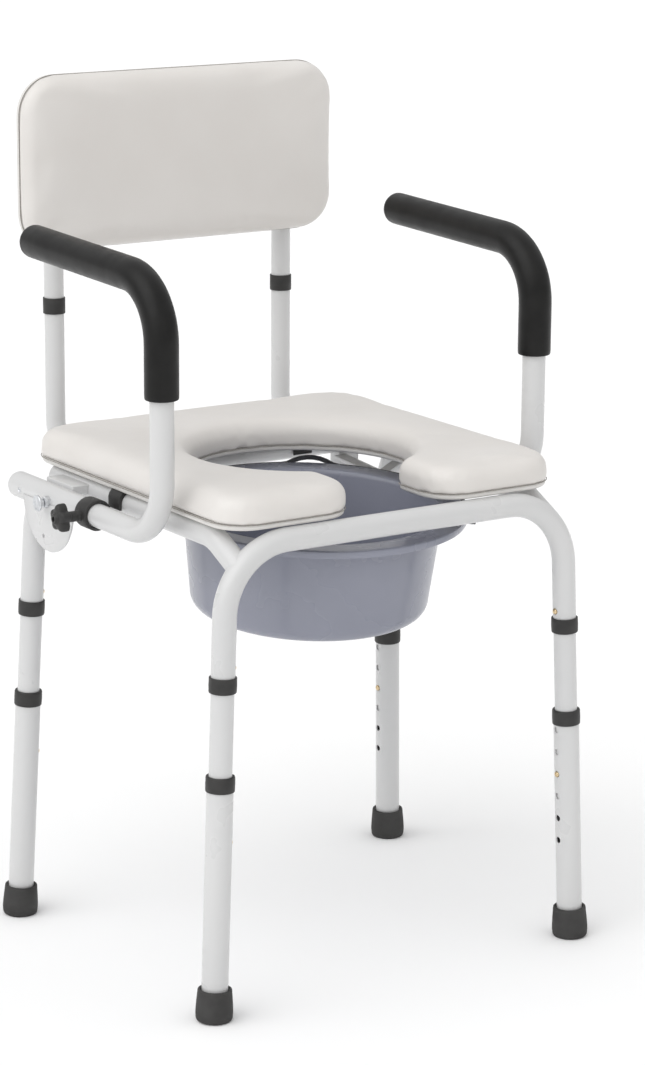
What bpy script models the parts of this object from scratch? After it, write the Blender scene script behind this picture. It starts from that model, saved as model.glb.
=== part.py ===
"""Commode chair: steel tube frame, drop-down arms, telescopic legs, lift-off seat and back, slide-out bucket.

Units are metres.  +Z is up, the chair faces -Y, and left and right are as seen from the front (-X is left).
Heights are measured from the floor.  Every piece hangs under the empty "commode_chair", whose place centres
the finished chair on the origin.
"""
import math

import bmesh
import bpy
from mathutils import Matrix, Vector

# ---------------------------------------------------------------- driving dimensions
GAP = 0.0003                    # clearance left between neighbouring pieces
CHAIR_CENTRE_Y = 0.0719         # depth of the middle of the chair's box, before it is centred

# Seat frame
FRAME_TUBE_R = 0.0127           # 25.4 mm tube
RAIL_Z = 0.500                  # centre height of the crossbars and side rails
SIDE_RAIL_X = 0.195
FRONT_BEND_R = 0.075
SIDE_RAIL_BACK = 0.225            # rear end of the side rails
RAIL_DIP_Y, RAIL_DIP_Z = -0.105, 0.476     # the side rails dip here to meet the front bends
RAIL_DIP_R = 0.060

# Leg axes: where each leg's line meets rail height, and where it meets the floor
FRONT_TOP = (0.2118, -0.1550)
FRONT_FLOOR = (0.2315, -0.1615)
REAR_TOP = (0.2320, 0.2083)
REAR_FLOOR = (0.2510, 0.2270)

# Leg stack, as heights along the leg's axis
FRAME_BORE_R = 0.0110
FRAME_TUBE_END = 0.3584         # lower end of the frame tube
MIDDLE_R = 0.0122
MIDDLE_BOTTOM = 0.1570
SPIGOT_R = 0.0107
MIDDLE_BORE_R = 0.0092
SPIGOT_TOP = 0.4000
FRAME_COLLAR_TOP = 0.3672
FRAME_COLLAR_BOTTOM = 0.3505
FRAME_COLLAR_R = 0.0145
FRAME_BUTTON_H = 0.3755
LOWER_R = 0.0140
LOWER_BORE_R = 0.0126
LOWER_TOP = 0.2600
LOWER_BOTTOM = 0.0065
LEG_COLLAR_TOP = 0.2630
LEG_COLLAR_BOTTOM = 0.2465
LEG_COLLAR_R = 0.01525
HOLE_PITCH = 0.0254
HOLE_COUNT = 6
HOLE_R = 0.0036
TOP_HOLE_H = 0.2410
HEIGHT_BUTTON_H = TOP_HOLE_H - 2 * HOLE_PITCH
BUTTON_R = 0.0032
FOOT_R = 0.0197
FOOT_LIP_R = 0.0181
FOOT_HEIGHT = 0.0340

# Drop-down arms
ARM_X = 0.235
SLEEVE_Z = 0.4915
SLEEVE_R = 0.0143
ARM_TUBE_R = 0.0127
SLEEVE_FRONT = 0.0885
SLEEVE_BACK = 0.2450
ARM_BORE_BACK = 0.1800          # depth of the sleeve's bore
ARM_TUBE_BACK = 0.1720
ARM_POST_Y = -0.0680
GRIP_FRONT_Z = 0.7585           # height of the grip's axis over the arm post
GRIP_BACK_Z = 0.7665
GRIP_R = 0.0180
GRIP_TIP_Y = 0.2050
GRIP_LOWER_END = 0.6400
ARM_LOWER_BEND_R = 0.062
ARM_UPPER_BEND_R = 0.064
COLLAR_FRONT = 0.0655           # arm collar, between this depth and the sleeve
COLLAR_R = 0.0168
KNOB_Y = 0.0770
KNOB_FACE_X = 0.2830
KNOB_R = 0.0158
KNOB_DEPTH = 0.0150             # from the back of the star to the face of its hub
KNOB_THICKNESS = 0.0105         # of the star itself
PIN_HEAD_SINK = 0.0195          # the pin's head ends this far inside the knob's face
KNOB_LOBES = 5
PIN_Y = 0.1500
PIN_R = 0.0030
PIN_BUSH_R = 0.0066
SLOT_HALF_WIDTH = 0.0045        # slot for the pin in the arm tube
SLOT_END = 0.0042               # it ends this far past the tube's axis
PIN_BUSH_END = 0.0205           # from the sleeve's axis
GUSSET_R = 0.0550
GUSSET_INNER_X = 0.2476
GUSSET_OUTER_X = 0.2500
GUSSET_LIP = 0.003              # the half disc reaches this far above the sleeve's axis
BRACKET_INNER_X, BRACKET_OUTER_X = 0.190, 0.2265     # box bracket between side rail and sleeve
BRACKET_FRONT, BRACKET_BACK = 0.137, 0.196
BRACKET_BOTTOM, BRACKET_TOP = 0.498, 0.5076

# Back
POST_X = 0.150
POST_Y = 0.3125
POST_R = 0.0111
POST_BORE_R = 0.0095
POST_TOP = 0.6722
HOOP_TOP = 0.9000
HOOP_SPIGOT_R = 0.0092
BACK_COLLAR_HEIGHT = 0.0180
BACK_COLLAR_R = 0.0125
BACK_BEND_R = 0.045
BACK_WIDTH = 0.400
BACK_BOTTOM = 0.7380
BACK_TOP = 0.9300
BACK_CORNER_R = 0.042
BACK_BOARD_FRONT = 0.2945
BACK_BOARD_REAR = 0.3011
BACK_PAD_FRONT = 0.2735

# Seat
SEAT_HALF_WIDTH = 0.210
SEAT_FRONT = -0.1530
SEAT_BACK = 0.2700
SEAT_CORNER_R = 0.045
SEAT_BOARD_BOTTOM = 0.5131
SEAT_BOARD_TOP = 0.5191
SEAT_PAD_TOP = 0.5510
SEAT_HOLE_Y = 0.0350
SEAT_HOLE_HALF_WIDTH = 0.120
SEAT_HOLE_HALF_DEPTH = 0.120
SEAT_SLOT_HALF_WIDTH = 0.049
SEAT_LOBE_R = 0.040
CLIP_WIDTH = 0.024
CLIP_BOTTOM = 0.494
SIDE_CLIP_Y = 0.075
REAR_CLIP_X = 0.105

# Bucket: heights below are measured down from its rim, along its own axis
BUCKET_Y = 0.0110
BUCKET_RIM_Z = 0.4850
BUCKET_TILT = 3.9               # degrees, front down
BUCKET_FLANGE_R = 0.1680
BUCKET_LIP = 0.0080
BUCKET_MOUTH_R = 0.1412
BUCKET_BASE_R = 0.1302
BUCKET_DEPTH = 0.1164
BUCKET_CORNER_R = 0.018
BUCKET_WALL = 0.0022

# Bucket handle: it turns on a line across the bucket, at an angle to the chair
HANDLE_TURN = -38.0             # degrees about the bucket's axis, from the chair's right-hand side
HANDLE_R = 0.1727
HANDLE_WIRE_R = 0.0030
HANDLE_DROP = 0.0044            # wire's height below the rim
HANDLE_ARCH = 0.0100            # rise of the grip
HANDLE_ARCH_AT = 96.0           # degrees round the wire from its first end
PIVOT_R = 0.0020

# Bucket rails, in the bucket's tilted frame
RAIL_INNER_X = 0.146
RAIL_OUTER_X = 0.162
RAIL_THICKNESS = 0.0045
RAIL_FRONT = -0.041
RAIL_BACK = 0.1790
HANGER_FRONT_Y = 0.1880         # block that joins the rail to the rear crossbar
HANGER_INNER_X = 0.152
HANGER_OUTER_X = 0.178
HANGER_BOTTOM = 0.4660
STRAP_Y = 0.112                 # slanting strap from the rail up to the side rail
STRAP_THICKNESS, STRAP_WIDTH = 0.003, 0.016
STRAP_SINK = 0.006              # how far its ends reach past the faces they are welded to

# Mesh fineness
TUBE_RES = 4                    # 12 sides
BEND_STEPS = 5
TURN_STEPS = 16
HOLE_STEPS = 8

SIDES = {"left": -1, "right": 1}
CORNERS = {
    "front_left": (-1, FRONT_TOP, FRONT_FLOOR),
    "front_right": (1, FRONT_TOP, FRONT_FLOOR),
    "rear_left": (-1, REAR_TOP, REAR_FLOOR),
    "rear_right": (1, REAR_TOP, REAR_FLOOR),
}

MATERIALS = {
    "white_paint": ((0.86, 0.86, 0.85), 0.35, 0.0),
    "dark_plastic": ((0.055, 0.055, 0.055), 0.5, 0.0),
    "foam_grip": ((0.02, 0.02, 0.021), 0.6, 0.0),
    "rubber": ((0.06, 0.06, 0.06), 0.7, 0.0),
    "brass": ((0.72, 0.52, 0.25), 0.3, 1.0),
    "zinc": ((0.62, 0.63, 0.65), 0.35, 1.0),
    "vinyl": ((0.66, 0.63, 0.59), 0.45, 0.0),
    "board": ((0.72, 0.71, 0.69), 0.5, 0.0),
    "bucket_plastic": ((0.30, 0.31, 0.38), 0.35, 0.0),
}


# ---------------------------------------------------------------- scene, collections and materials
def clear_scene():
    for obj in list(bpy.data.objects):
        bpy.data.objects.remove(obj, do_unlink=True)


def new_collection(name):
    collection = bpy.data.collections.new(name)
    bpy.context.scene.collection.children.link(collection)
    return collection


def make_materials():
    for name, (color, roughness, metallic) in MATERIALS.items():
        material = bpy.data.materials.new(name)
        material.use_nodes = True
        shader = material.node_tree.nodes["Principled BSDF"]
        shader.inputs["Base Color"].default_value = (*color, 1.0)
        shader.inputs["Roughness"].default_value = roughness
        shader.inputs["Metallic"].default_value = metallic


def place(obj, parent, location=(0, 0, 0), rotation=(0, 0, 0)):
    obj.parent = parent
    obj.location = location
    obj.rotation_euler = rotation
    return obj


def piece(name, data, material, parent, location=(0, 0, 0), rotation=(0, 0, 0)):
    """Add a finished part of the chair."""
    obj = bpy.data.objects.new(name, data)
    PARTS.objects.link(obj)
    data.materials.clear()
    data.materials.append(bpy.data.materials[material])
    return place(obj, parent, location, rotation)


def cutter(name, data, parent, location=(0, 0, 0), rotation=(0, 0, 0)):
    """Add a body that only shapes other parts."""
    obj = bpy.data.objects.new(name, data)
    CUTTERS.objects.link(obj)
    obj.hide_render = True
    obj.display_type = "WIRE"
    return place(obj, parent, location, rotation)


def axis_empty(name, parent, location, rotation=(0, 0, 0)):
    obj = bpy.data.objects.new(name, None)
    PARTS.objects.link(obj)
    return place(obj, parent, location, rotation)


# ---------------------------------------------------------------- mesh helpers
def fillet(points, radius):
    """Return the path through points with each inner corner rounded by an arc of the given radius."""
    path = [Vector(points[0])]
    for before, corner, after in zip(points, points[1:], points[2:]):
        corner = Vector(corner)
        to_before = (Vector(before) - corner).normalized()
        to_after = (Vector(after) - corner).normalized()
        half = to_before.angle(to_after) / 2
        centre = corner + (to_before + to_after).normalized() * radius / math.sin(half)
        start = corner + to_before * radius / math.tan(half) - centre
        turn_axis = start.cross(corner - centre).normalized()
        sweep = math.pi - 2 * half
        for step in range(BEND_STEPS + 1):
            arm = Matrix.Rotation(sweep * step / BEND_STEPS, 3, turn_axis) @ start
            path.append(centre + arm)
    path.append(Vector(points[-1]))
    return path


def curve_mesh(curve, name):
    """Turn a curve into a closed mesh: the caps are welded to the walls."""
    obj = bpy.data.objects.new(name + "_curve", curve)
    CUTTERS.objects.link(obj)
    evaluated = obj.evaluated_get(bpy.context.evaluated_depsgraph_get())
    mesh = bpy.data.meshes.new_from_object(evaluated)
    mesh.name = name
    shape = bmesh.new()
    shape.from_mesh(mesh)
    bmesh.ops.remove_doubles(shape, verts=shape.verts, dist=1e-6)
    bmesh.ops.recalc_face_normals(shape, faces=shape.faces)
    shape.to_mesh(mesh)
    shape.free()
    bpy.data.objects.remove(obj)
    bpy.data.curves.remove(curve)
    return mesh


def tube_mesh(name, path, radius, scales=None):
    """A round bar along a path; scales shrink the radius point by point."""
    curve = bpy.data.curves.new(name, "CURVE")
    curve.dimensions = "3D"
    curve.bevel_depth = radius
    curve.bevel_resolution = TUBE_RES
    curve.use_fill_caps = True
    spline = curve.splines.new("POLY")
    spline.points.add(len(path) - 1)
    for index, point in enumerate(path):
        spline.points[index].co = (*point, 1.0)
        spline.points[index].radius = scales[index] if scales else 1.0
    mesh = curve_mesh(curve, name)
    smooth(mesh)
    return mesh


def plate_mesh(name, outline, thickness):
    """A flat plate in the XY plane, centred on it in thickness."""
    curve = bpy.data.curves.new(name, "CURVE")
    curve.dimensions = "2D"
    curve.fill_mode = "BOTH"
    curve.extrude = thickness / 2
    spline = curve.splines.new("POLY")
    spline.points.add(len(outline) - 1)
    for index, (x, y) in enumerate(outline):
        spline.points[index].co = (x, y, 0.0, 1.0)
    spline.use_cyclic_u = True
    return curve_mesh(curve, name)


def box_mesh(name, low, high):
    low, high = Vector(low), Vector(high)
    mesh = bpy.data.meshes.new(name)
    shape = bmesh.new()
    bmesh.ops.create_cube(shape, size=1.0)
    size = high - low
    bmesh.ops.scale(shape, vec=size, verts=shape.verts)
    bmesh.ops.translate(shape, vec=(low + high) / 2, verts=shape.verts)
    shape.to_mesh(mesh)
    shape.free()
    return mesh


def profile_mesh(name, profile, closed):
    """Join (radius, height) points into an outline for turned()."""
    mesh = bpy.data.meshes.new(name)
    vertices = [(radius, 0.0, height) for radius, height in profile]
    edges = [(i, i + 1) for i in range(len(profile) - 1)]
    if closed:
        edges.append((len(profile) - 1, 0))
    mesh.from_pydata(vertices, edges, [])
    return mesh


def turn(obj, steps=TURN_STEPS):
    """Spin an outline about the object's Z axis."""
    screw = obj.modifiers.new("turn", "SCREW")
    screw.angle = 2 * math.pi
    screw.steps = steps
    screw.render_steps = steps
    screw.use_merge_vertices = True
    screw.merge_threshold = 1e-5
    screw.use_smooth_shade = True
    return obj


def smooth(mesh, angle=math.radians(40)):
    mesh.shade_smooth()
    mesh.set_sharp_from_angle(angle=angle)


def combine(obj, other, operation):
    change = obj.modifiers.new(operation.lower(), "BOOLEAN")
    change.operation = operation
    change.solver = "EXACT"
    change.object = other
    return obj


def cut(obj, *others):
    for other in others:
        combine(obj, other, "DIFFERENCE")
    return obj


def join(obj, *others):
    for other in others:
        combine(obj, other, "UNION")
    return obj


def ring(bottom, top, inner, outer):
    """Closed outline of a plain ring, clockwise from the top of its outer side."""
    return [(outer, top), (outer, bottom), (inner, bottom), (inner, top)]


def rod(bottom, top, radius):
    """Open outline of a solid cylinder on the axis."""
    return [(0, top), (radius, top), (radius, bottom), (0, bottom)]


def arc(centre, radius, start, end, steps):
    """Points of a circular arc in the plane, from start to end in degrees."""
    points = []
    for step in range(steps + 1):
        angle = math.radians(start + (end - start) * step / steps)
        points.append((centre[0] + radius * math.cos(angle), centre[1] + radius * math.sin(angle)))
    return points


def rod_cutter(name, bottom, top, radius, parent, location=(0, 0, 0), rotation=(0, 0, 0), steps=TURN_STEPS):
    obj = cutter(name, profile_mesh(name, rod(bottom, top, radius), False), parent, location, rotation)
    return turn(obj, steps)


def cross_hole(name, depth, radius, parent, location, side=1):
    """Cutter for a small hole that runs from the parent's Z axis out along its X, on the given side."""
    return rod_cutter(name, 0.0, depth, radius, parent, location, (0, side * math.pi / 2, 0), HOLE_STEPS)


# ---------------------------------------------------------------- leg axes
def leg_line(side, top, floor, height):
    """Point of a leg's axis at a height above the floor."""
    share = height / RAIL_Z
    x = floor[0] + (top[0] - floor[0]) * share
    y = floor[1] + (top[1] - floor[1]) * share
    return Vector((side * x, y, height))


def leg_axis_empties(chair):
    """One empty per leg: its Z runs up the leg, and its X points at the chair's centre plane."""
    empties = {}
    for corner, (side, top, floor) in CORNERS.items():
        foot_point = leg_line(side, top, floor, 0.0)
        up = (leg_line(side, top, floor, RAIL_Z) - foot_point).normalized()
        across = up.cross(Vector((-side, 0, 0))).normalized()
        inward = across.cross(up).normalized()
        turned_to = Matrix((inward, across, up)).transposed()
        empties[corner] = axis_empty(corner + "_leg_axis", chair, foot_point, turned_to.to_euler())
    return empties


# ---------------------------------------------------------------- seat frame
def front_path():
    side, top, floor = CORNERS["front_left"]
    low = leg_line(side, top, floor, FRAME_TUBE_END)
    corner = leg_line(side, top, floor, RAIL_Z)
    mirror = Vector((-1, 1, 1))
    return fillet([low, corner, corner * mirror, low * mirror], FRONT_BEND_R)


def rear_leg_path(side):
    """The rear leg tube leans forward at its top, to meet the arm sleeve from below."""
    _, top, floor = CORNERS["rear_left"]
    low = leg_line(side, top, floor, FRAME_TUBE_END)
    knee = leg_line(side, top, floor, 0.452)
    head = Vector((side * ARM_X, 0.194, SLEEVE_Z))
    return fillet([low, knee, head], 0.060)


def leg_socket_cutters(corner, leg_axis):
    """The bore for the middle leg's spigot, and the hole for its snap button."""
    bore = rod_cutter(corner + "_socket", FRAME_TUBE_END - 0.004, SPIGOT_TOP + 0.004, FRAME_BORE_R, leg_axis)
    hole = cross_hole(corner + "_frame_button_hole", 0.020, HOLE_R, leg_axis, (0, 0, FRAME_BUTTON_H))
    return bore, hole


def make_frame(chair, legs):
    front = piece("front_frame", tube_mesh("front_frame", front_path(), FRAME_TUBE_R), "white_paint", chair)
    for corner in ("front_left", "front_right"):
        cut(front, *leg_socket_cutters(corner, legs[corner]))
    fat_front = cutter("front_frame_clearance",
                       tube_mesh("front_frame_clearance", front_path(), FRAME_TUBE_R + GAP), chair)

    along = (math.pi / 2, 0, 0)
    fat_rails = []
    fat_sleeves = {}
    for side_name, side in SIDES.items():
        fat_rails.append(rod_cutter(side_name + "_rail_clearance", -0.30, 0.30, FRAME_TUBE_R + GAP, chair,
                                    (side * SIDE_RAIL_X, 0, RAIL_Z), along))
        fat_sleeves[side] = rod_cutter(side_name + "_sleeve_clearance", -0.30, 0.30, SLEEVE_R + GAP, chair,
                                       (side * ARM_X, 0, SLEEVE_Z), along)

    for side_name, side in SIDES.items():
        rail_x = side * SIDE_RAIL_X
        line = fillet([(rail_x, FRONT_TOP[1], RAIL_DIP_Z), (rail_x, RAIL_DIP_Y, RAIL_Z),
                       (rail_x, SIDE_RAIL_BACK, RAIL_Z)], RAIL_DIP_R)
        rail = piece(side_name + "_side_rail", tube_mesh(side_name + "_side_rail", line, FRAME_TUBE_R),
                     "white_paint", chair)
        # the box bracket that carries the arm sleeve is welded to the rail
        near, far = sorted((side * BRACKET_INNER_X, side * BRACKET_OUTER_X))
        bracket = cutter(side_name + "_bracket_block",
                         box_mesh(side_name + "_bracket_block", (near, BRACKET_FRONT, BRACKET_BOTTOM),
                                  (far, BRACKET_BACK, BRACKET_TOP)), chair)
        join(rail, bracket)
        cut(rail, fat_front, fat_sleeves[side])

    ends = [(-SIDE_RAIL_X, REAR_TOP[1], RAIL_Z), (SIDE_RAIL_X, REAR_TOP[1], RAIL_Z)]
    rear = piece("rear_crossbar", tube_mesh("rear_crossbar", ends, FRAME_TUBE_R), "white_paint", chair)
    cut(rear, *fat_rails)

    for side_name, side in SIDES.items():
        corner = "rear_" + side_name
        tube = piece(corner + "_leg_tube", tube_mesh(corner + "_leg_tube", rear_leg_path(side), FRAME_TUBE_R),
                     "white_paint", chair)
        cut(tube, fat_sleeves[side], *leg_socket_cutters(corner, legs[corner]))
    return fat_rails


# ---------------------------------------------------------------- legs
def make_middle_leg(corner, leg_axis):
    """Fixed inner tube: its spigot plugs into the frame, and both snap buttons sit in it."""
    outline = [
        (SPIGOT_R, SPIGOT_TOP), (SPIGOT_R, FRAME_TUBE_END - 2 * GAP), (MIDDLE_R, FRAME_TUBE_END - 2 * GAP),
        (MIDDLE_R, MIDDLE_BOTTOM), (MIDDLE_BORE_R, MIDDLE_BOTTOM), (MIDDLE_BORE_R, SPIGOT_TOP),
    ]
    leg = turn(piece(corner + "_middle_leg", profile_mesh(corner + "_middle_leg", outline, True),
                     "white_paint", leg_axis))
    for height in (HEIGHT_BUTTON_H, FRAME_BUTTON_H):
        cut(leg, cross_hole(corner + "_middle_hole", 0.020, HOLE_R, leg_axis, (0, 0, height)))


def make_lower_leg(corner, leg_axis):
    outline = ring(LOWER_BOTTOM, LOWER_TOP, LOWER_BORE_R, LOWER_R)
    leg = turn(piece(corner + "_lower_leg", profile_mesh(corner + "_lower_leg", outline, True),
                     "white_paint", leg_axis))
    for index in range(HOLE_COUNT):
        height = TOP_HOLE_H - index * HOLE_PITCH
        cut(leg, cross_hole(corner + "_leg_hole", 0.020, HOLE_R, leg_axis, (0, 0, height)))


def make_frame_collar(corner, leg_axis):
    """Plastic ring that hides the joint between the frame tube and the middle leg."""
    lip = FRAME_TUBE_END - 2 * GAP
    outline = [
        (FRAME_COLLAR_R, FRAME_COLLAR_TOP), (FRAME_COLLAR_R, FRAME_COLLAR_BOTTOM),
        (MIDDLE_R + GAP, FRAME_COLLAR_BOTTOM), (MIDDLE_R + GAP, lip),
        (FRAME_TUBE_R + GAP, lip), (FRAME_TUBE_R + GAP, FRAME_COLLAR_TOP),
    ]
    turn(piece(corner + "_frame_collar", profile_mesh(corner + "_frame_collar", outline, True),
               "dark_plastic", leg_axis))


def make_leg_collar(corner, leg_axis):
    """Plastic ring on the top of the lower leg, which guides the middle leg."""
    lip = LOWER_TOP + GAP
    outline = [
        (LEG_COLLAR_R, LEG_COLLAR_TOP), (LEG_COLLAR_R, LEG_COLLAR_BOTTOM),
        (LOWER_R + GAP, LEG_COLLAR_BOTTOM), (LOWER_R + GAP, lip),
        (MIDDLE_R + GAP, lip), (MIDDLE_R + GAP, LEG_COLLAR_TOP),
    ]
    turn(piece(corner + "_leg_collar", profile_mesh(corner + "_leg_collar", outline, True),
               "dark_plastic", leg_axis))


def make_foot(corner, leg_axis, floor_block):
    """Rubber ferrule: a cup on the end of the leg, cut off level with the floor."""
    floor_top = LOWER_BOTTOM - GAP
    outline = [
        (0, floor_top), (LOWER_R + GAP, floor_top), (LOWER_R + GAP, FOOT_HEIGHT),
        (FOOT_LIP_R, FOOT_HEIGHT), (FOOT_LIP_R, 0.0200), (FOOT_R, 0.0050), (FOOT_R, -0.0040), (0, -0.0040),
    ]
    foot = turn(piece(corner + "_foot", profile_mesh(corner + "_foot", outline, False), "rubber", leg_axis))
    cut(foot, floor_block)


def make_button(name, leg_axis, height, inner, outer):
    """Snap button with a domed head; it lies along the leg's X, towards the chair's middle."""
    dome = 0.0014
    outline = [
        (0, outer), (BUTTON_R * 0.65, outer - dome * 0.35), (BUTTON_R, outer - dome), (BUTTON_R, inner),
        (0, inner),
    ]
    turn(piece(name, profile_mesh(name, outline, False), "brass", leg_axis, (0, 0, height),
               (0, math.pi / 2, 0)), HOLE_STEPS)


def make_legs(chair, legs):
    floor_block = cutter("floor_block", box_mesh("floor_block", (-0.4, -0.4, -0.05), (0.4, 0.4, 0.0)), chair)
    for corner, leg_axis in legs.items():
        make_middle_leg(corner, leg_axis)
        make_lower_leg(corner, leg_axis)
        make_frame_collar(corner, leg_axis)
        make_leg_collar(corner, leg_axis)
        make_foot(corner, leg_axis, floor_block)
        make_button(corner + "_frame_button", leg_axis, FRAME_BUTTON_H, 0.0045, FRAME_TUBE_R + 0.0022)
        make_button(corner + "_height_button", leg_axis, HEIGHT_BUTTON_H, 0.0055, LOWER_R + 0.0022)


# ---------------------------------------------------------------- arms
def make_sleeve(side_name, side, arm_axis):
    """Fixed tube that the arm turns in, closed at the back, with the half-round gusset under it."""
    name = side_name + "_arm_sleeve"
    edge = 0.004
    outline = [
        (0, SLEEVE_BACK), (SLEEVE_R - edge, SLEEVE_BACK), (SLEEVE_R - edge * 0.3, SLEEVE_BACK - edge * 0.3),
        (SLEEVE_R, SLEEVE_BACK - edge), (SLEEVE_R, SLEEVE_FRONT), (0, SLEEVE_FRONT),
    ]
    back_to_front = (-math.pi / 2, 0, 0)
    sleeve = turn(piece(name, profile_mesh(name, outline, False), "white_paint", arm_axis, (0, 0, 0),
                        back_to_front))
    half_disc = [(-GUSSET_R, GUSSET_LIP), (GUSSET_R, GUSSET_LIP)] + arc((0, 0), GUSSET_R, 0, -180, 20)
    plate = plate_mesh(side_name + "_gusset_blank", half_disc, GUSSET_OUTER_X - GUSSET_INNER_X)
    offset = side * ((GUSSET_OUTER_X + GUSSET_INNER_X) / 2 - ARM_X)
    gusset = cutter(side_name + "_gusset_blank", plate, arm_axis, (offset, PIN_Y, 0),
                    (math.pi / 2, 0, math.pi / 2))
    rivet_hole = rod_cutter(side_name + "_gusset_hole", -0.02, 0.02, 0.0026, arm_axis,
                            (offset, PIN_Y + 0.010, -0.040), (0, math.pi / 2, 0), HOLE_STEPS)
    bore = rod_cutter(side_name + "_sleeve_bore", SLEEVE_FRONT - 0.01, ARM_BORE_BACK, ARM_TUBE_R + GAP,
                      arm_axis, (0, 0, 0), back_to_front)
    pin_hole = cross_hole(side_name + "_pin_hole", 0.030, PIN_R + GAP, arm_axis, (0, PIN_Y, 0), side)
    bush = cutter(side_name + "_pin_bush",
                  profile_mesh(side_name + "_pin_bush",
                               rod(SLEEVE_R - 0.0005, PIN_BUSH_END, PIN_BUSH_R), False),
                  arm_axis, (0, PIN_Y, 0), (0, side * math.pi / 2, 0))
    join(sleeve, gusset, turn(bush, 12))
    cut(sleeve, rivet_hole, bore, pin_hole)


def arm_path(end_y):
    """Centre line of the arm, in the plane of the arm and from the sleeve to the given depth of its top."""
    top_z = GRIP_FRONT_Z - SLEEVE_Z
    rise = (GRIP_BACK_Z - GRIP_FRONT_Z) / (GRIP_TIP_Y - ARM_POST_Y)
    end_z = top_z + rise * (end_y - ARM_POST_Y)
    lower = fillet([(0, ARM_TUBE_BACK, 0), (0, ARM_POST_Y, 0), (0, ARM_POST_Y, 0.15)], ARM_LOWER_BEND_R)
    upper = fillet([(0, ARM_POST_Y, 0.15), (0, ARM_POST_Y, top_z), (0, end_y, end_z)], ARM_UPPER_BEND_R)
    return lower, upper


def make_arm(side_name, side, arm_axis):
    name = side_name + "_arm_tube"
    lower, upper = arm_path(GRIP_TIP_Y - 0.014)
    tube = piece(name, tube_mesh(name, lower[:-1] + upper[1:], ARM_TUBE_R), "white_paint", arm_axis)
    # the lock pin runs in this half-round slot, whose ends stop the arm upright and hanging
    reach = ARM_TUBE_R + 0.002
    slot = cutter(side_name + "_pin_slot",
                  box_mesh(side_name + "_pin_slot", (-reach, PIN_Y - SLOT_HALF_WIDTH, -SLOT_END),
                           (reach, PIN_Y + SLOT_HALF_WIDTH, reach)), arm_axis)
    cut(tube, slot)

    name = side_name + "_arm_grip"
    _, upper = arm_path(GRIP_TIP_Y)
    start = Vector((0, ARM_POST_Y, GRIP_LOWER_END - SLEEVE_Z))
    backward = (upper[-1] - upper[-2]).normalized()
    tip = upper[-1]
    round_tip = [(0.0100, 1.0), (0.0030, 0.80), (0.0, 0.50)]
    path = [start] + upper[1:-1] + [tip - backward * step for step, _ in round_tip]
    scales = [1.0] * (len(upper) - 1) + [scale for _, scale in round_tip]
    grip = piece(name, tube_mesh(name, path, GRIP_R, scales), "foam_grip", arm_axis)
    inner_end = tip - backward * (0.014 - 2 * GAP)
    bore_path = [start - Vector((0, 0, 0.01))] + upper[1:-1] + [inner_end]
    bore = cutter(side_name + "_grip_bore",
                  tube_mesh(side_name + "_grip_bore", bore_path, ARM_TUBE_R + 2 * GAP), arm_axis)
    cut(grip, bore)


def make_arm_collar(side_name, side, arm_axis):
    """Plastic collar at the mouth of the sleeve, with the boss that the clamp screw passes through."""
    name = side_name + "_arm_collar"
    outline = ring(COLLAR_FRONT, SLEEVE_FRONT - GAP, ARM_TUBE_R + GAP, COLLAR_R)
    collar = turn(piece(name, profile_mesh(name, outline, True), "dark_plastic", arm_axis, (0, 0, 0),
                        (-math.pi / 2, 0, 0)))
    outward = (0, side * math.pi / 2, 0)
    boss = cutter(side_name + "_boss_block",
                  profile_mesh(side_name + "_boss_block", rod(0.0142, 0.0212, 0.0060), False),
                  arm_axis, (0, KNOB_Y, 0), outward)
    turn(boss, 12)
    screw_hole = cross_hole(side_name + "_screw_hole", 0.040, 0.0033, arm_axis, (0, KNOB_Y, 0), side)
    join(collar, boss)
    cut(collar, screw_hole)


def make_knob(side_name, side, arm_axis):
    """Star knob on a screw, lying across the chair."""
    name = side_name + "_clamp_knob"
    back, face = KNOB_FACE_X - ARM_X - KNOB_DEPTH, KNOB_FACE_X - ARM_X
    count = KNOB_LOBES * 6
    outline = []
    for step in range(count):
        angle = 2 * math.pi * step / count
        radius = KNOB_R * (0.86 + 0.14 * math.cos(KNOB_LOBES * angle))
        outline.append((radius * math.cos(angle), radius * math.sin(angle)))
    star = plate_mesh(name, outline, KNOB_THICKNESS)
    for vertex in star.vertices:
        vertex.co.z += back + KNOB_THICKNESS / 2
    outward = (0, side * math.pi / 2, 0)
    knob = piece(name, star, "dark_plastic", arm_axis, (0, KNOB_Y, 0), outward)
    hub_outline = [
        (0, face), (0.0052, face), (0.0068, face - 0.0025), (0.0090, back + 0.0095), (0.0090, back + 0.003),
        (0.0060, back - 0.001), (0.0058, 0.0215), (0.0030, 0.0215), (0.0030, ARM_TUBE_R + 2 * GAP),
        (0, ARM_TUBE_R + 2 * GAP),
    ]
    hub = cutter(side_name + "_knob_hub", profile_mesh(side_name + "_knob_hub", hub_outline, False),
                 arm_axis, (0, KNOB_Y, 0), outward)
    turn(hub, 12)
    socket = rod_cutter(side_name + "_knob_socket", face - 0.006, face + 0.01, 0.0030, arm_axis,
                        (0, KNOB_Y, 0), outward, HOLE_STEPS)
    join(knob, hub)
    cut(knob, socket)


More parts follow.
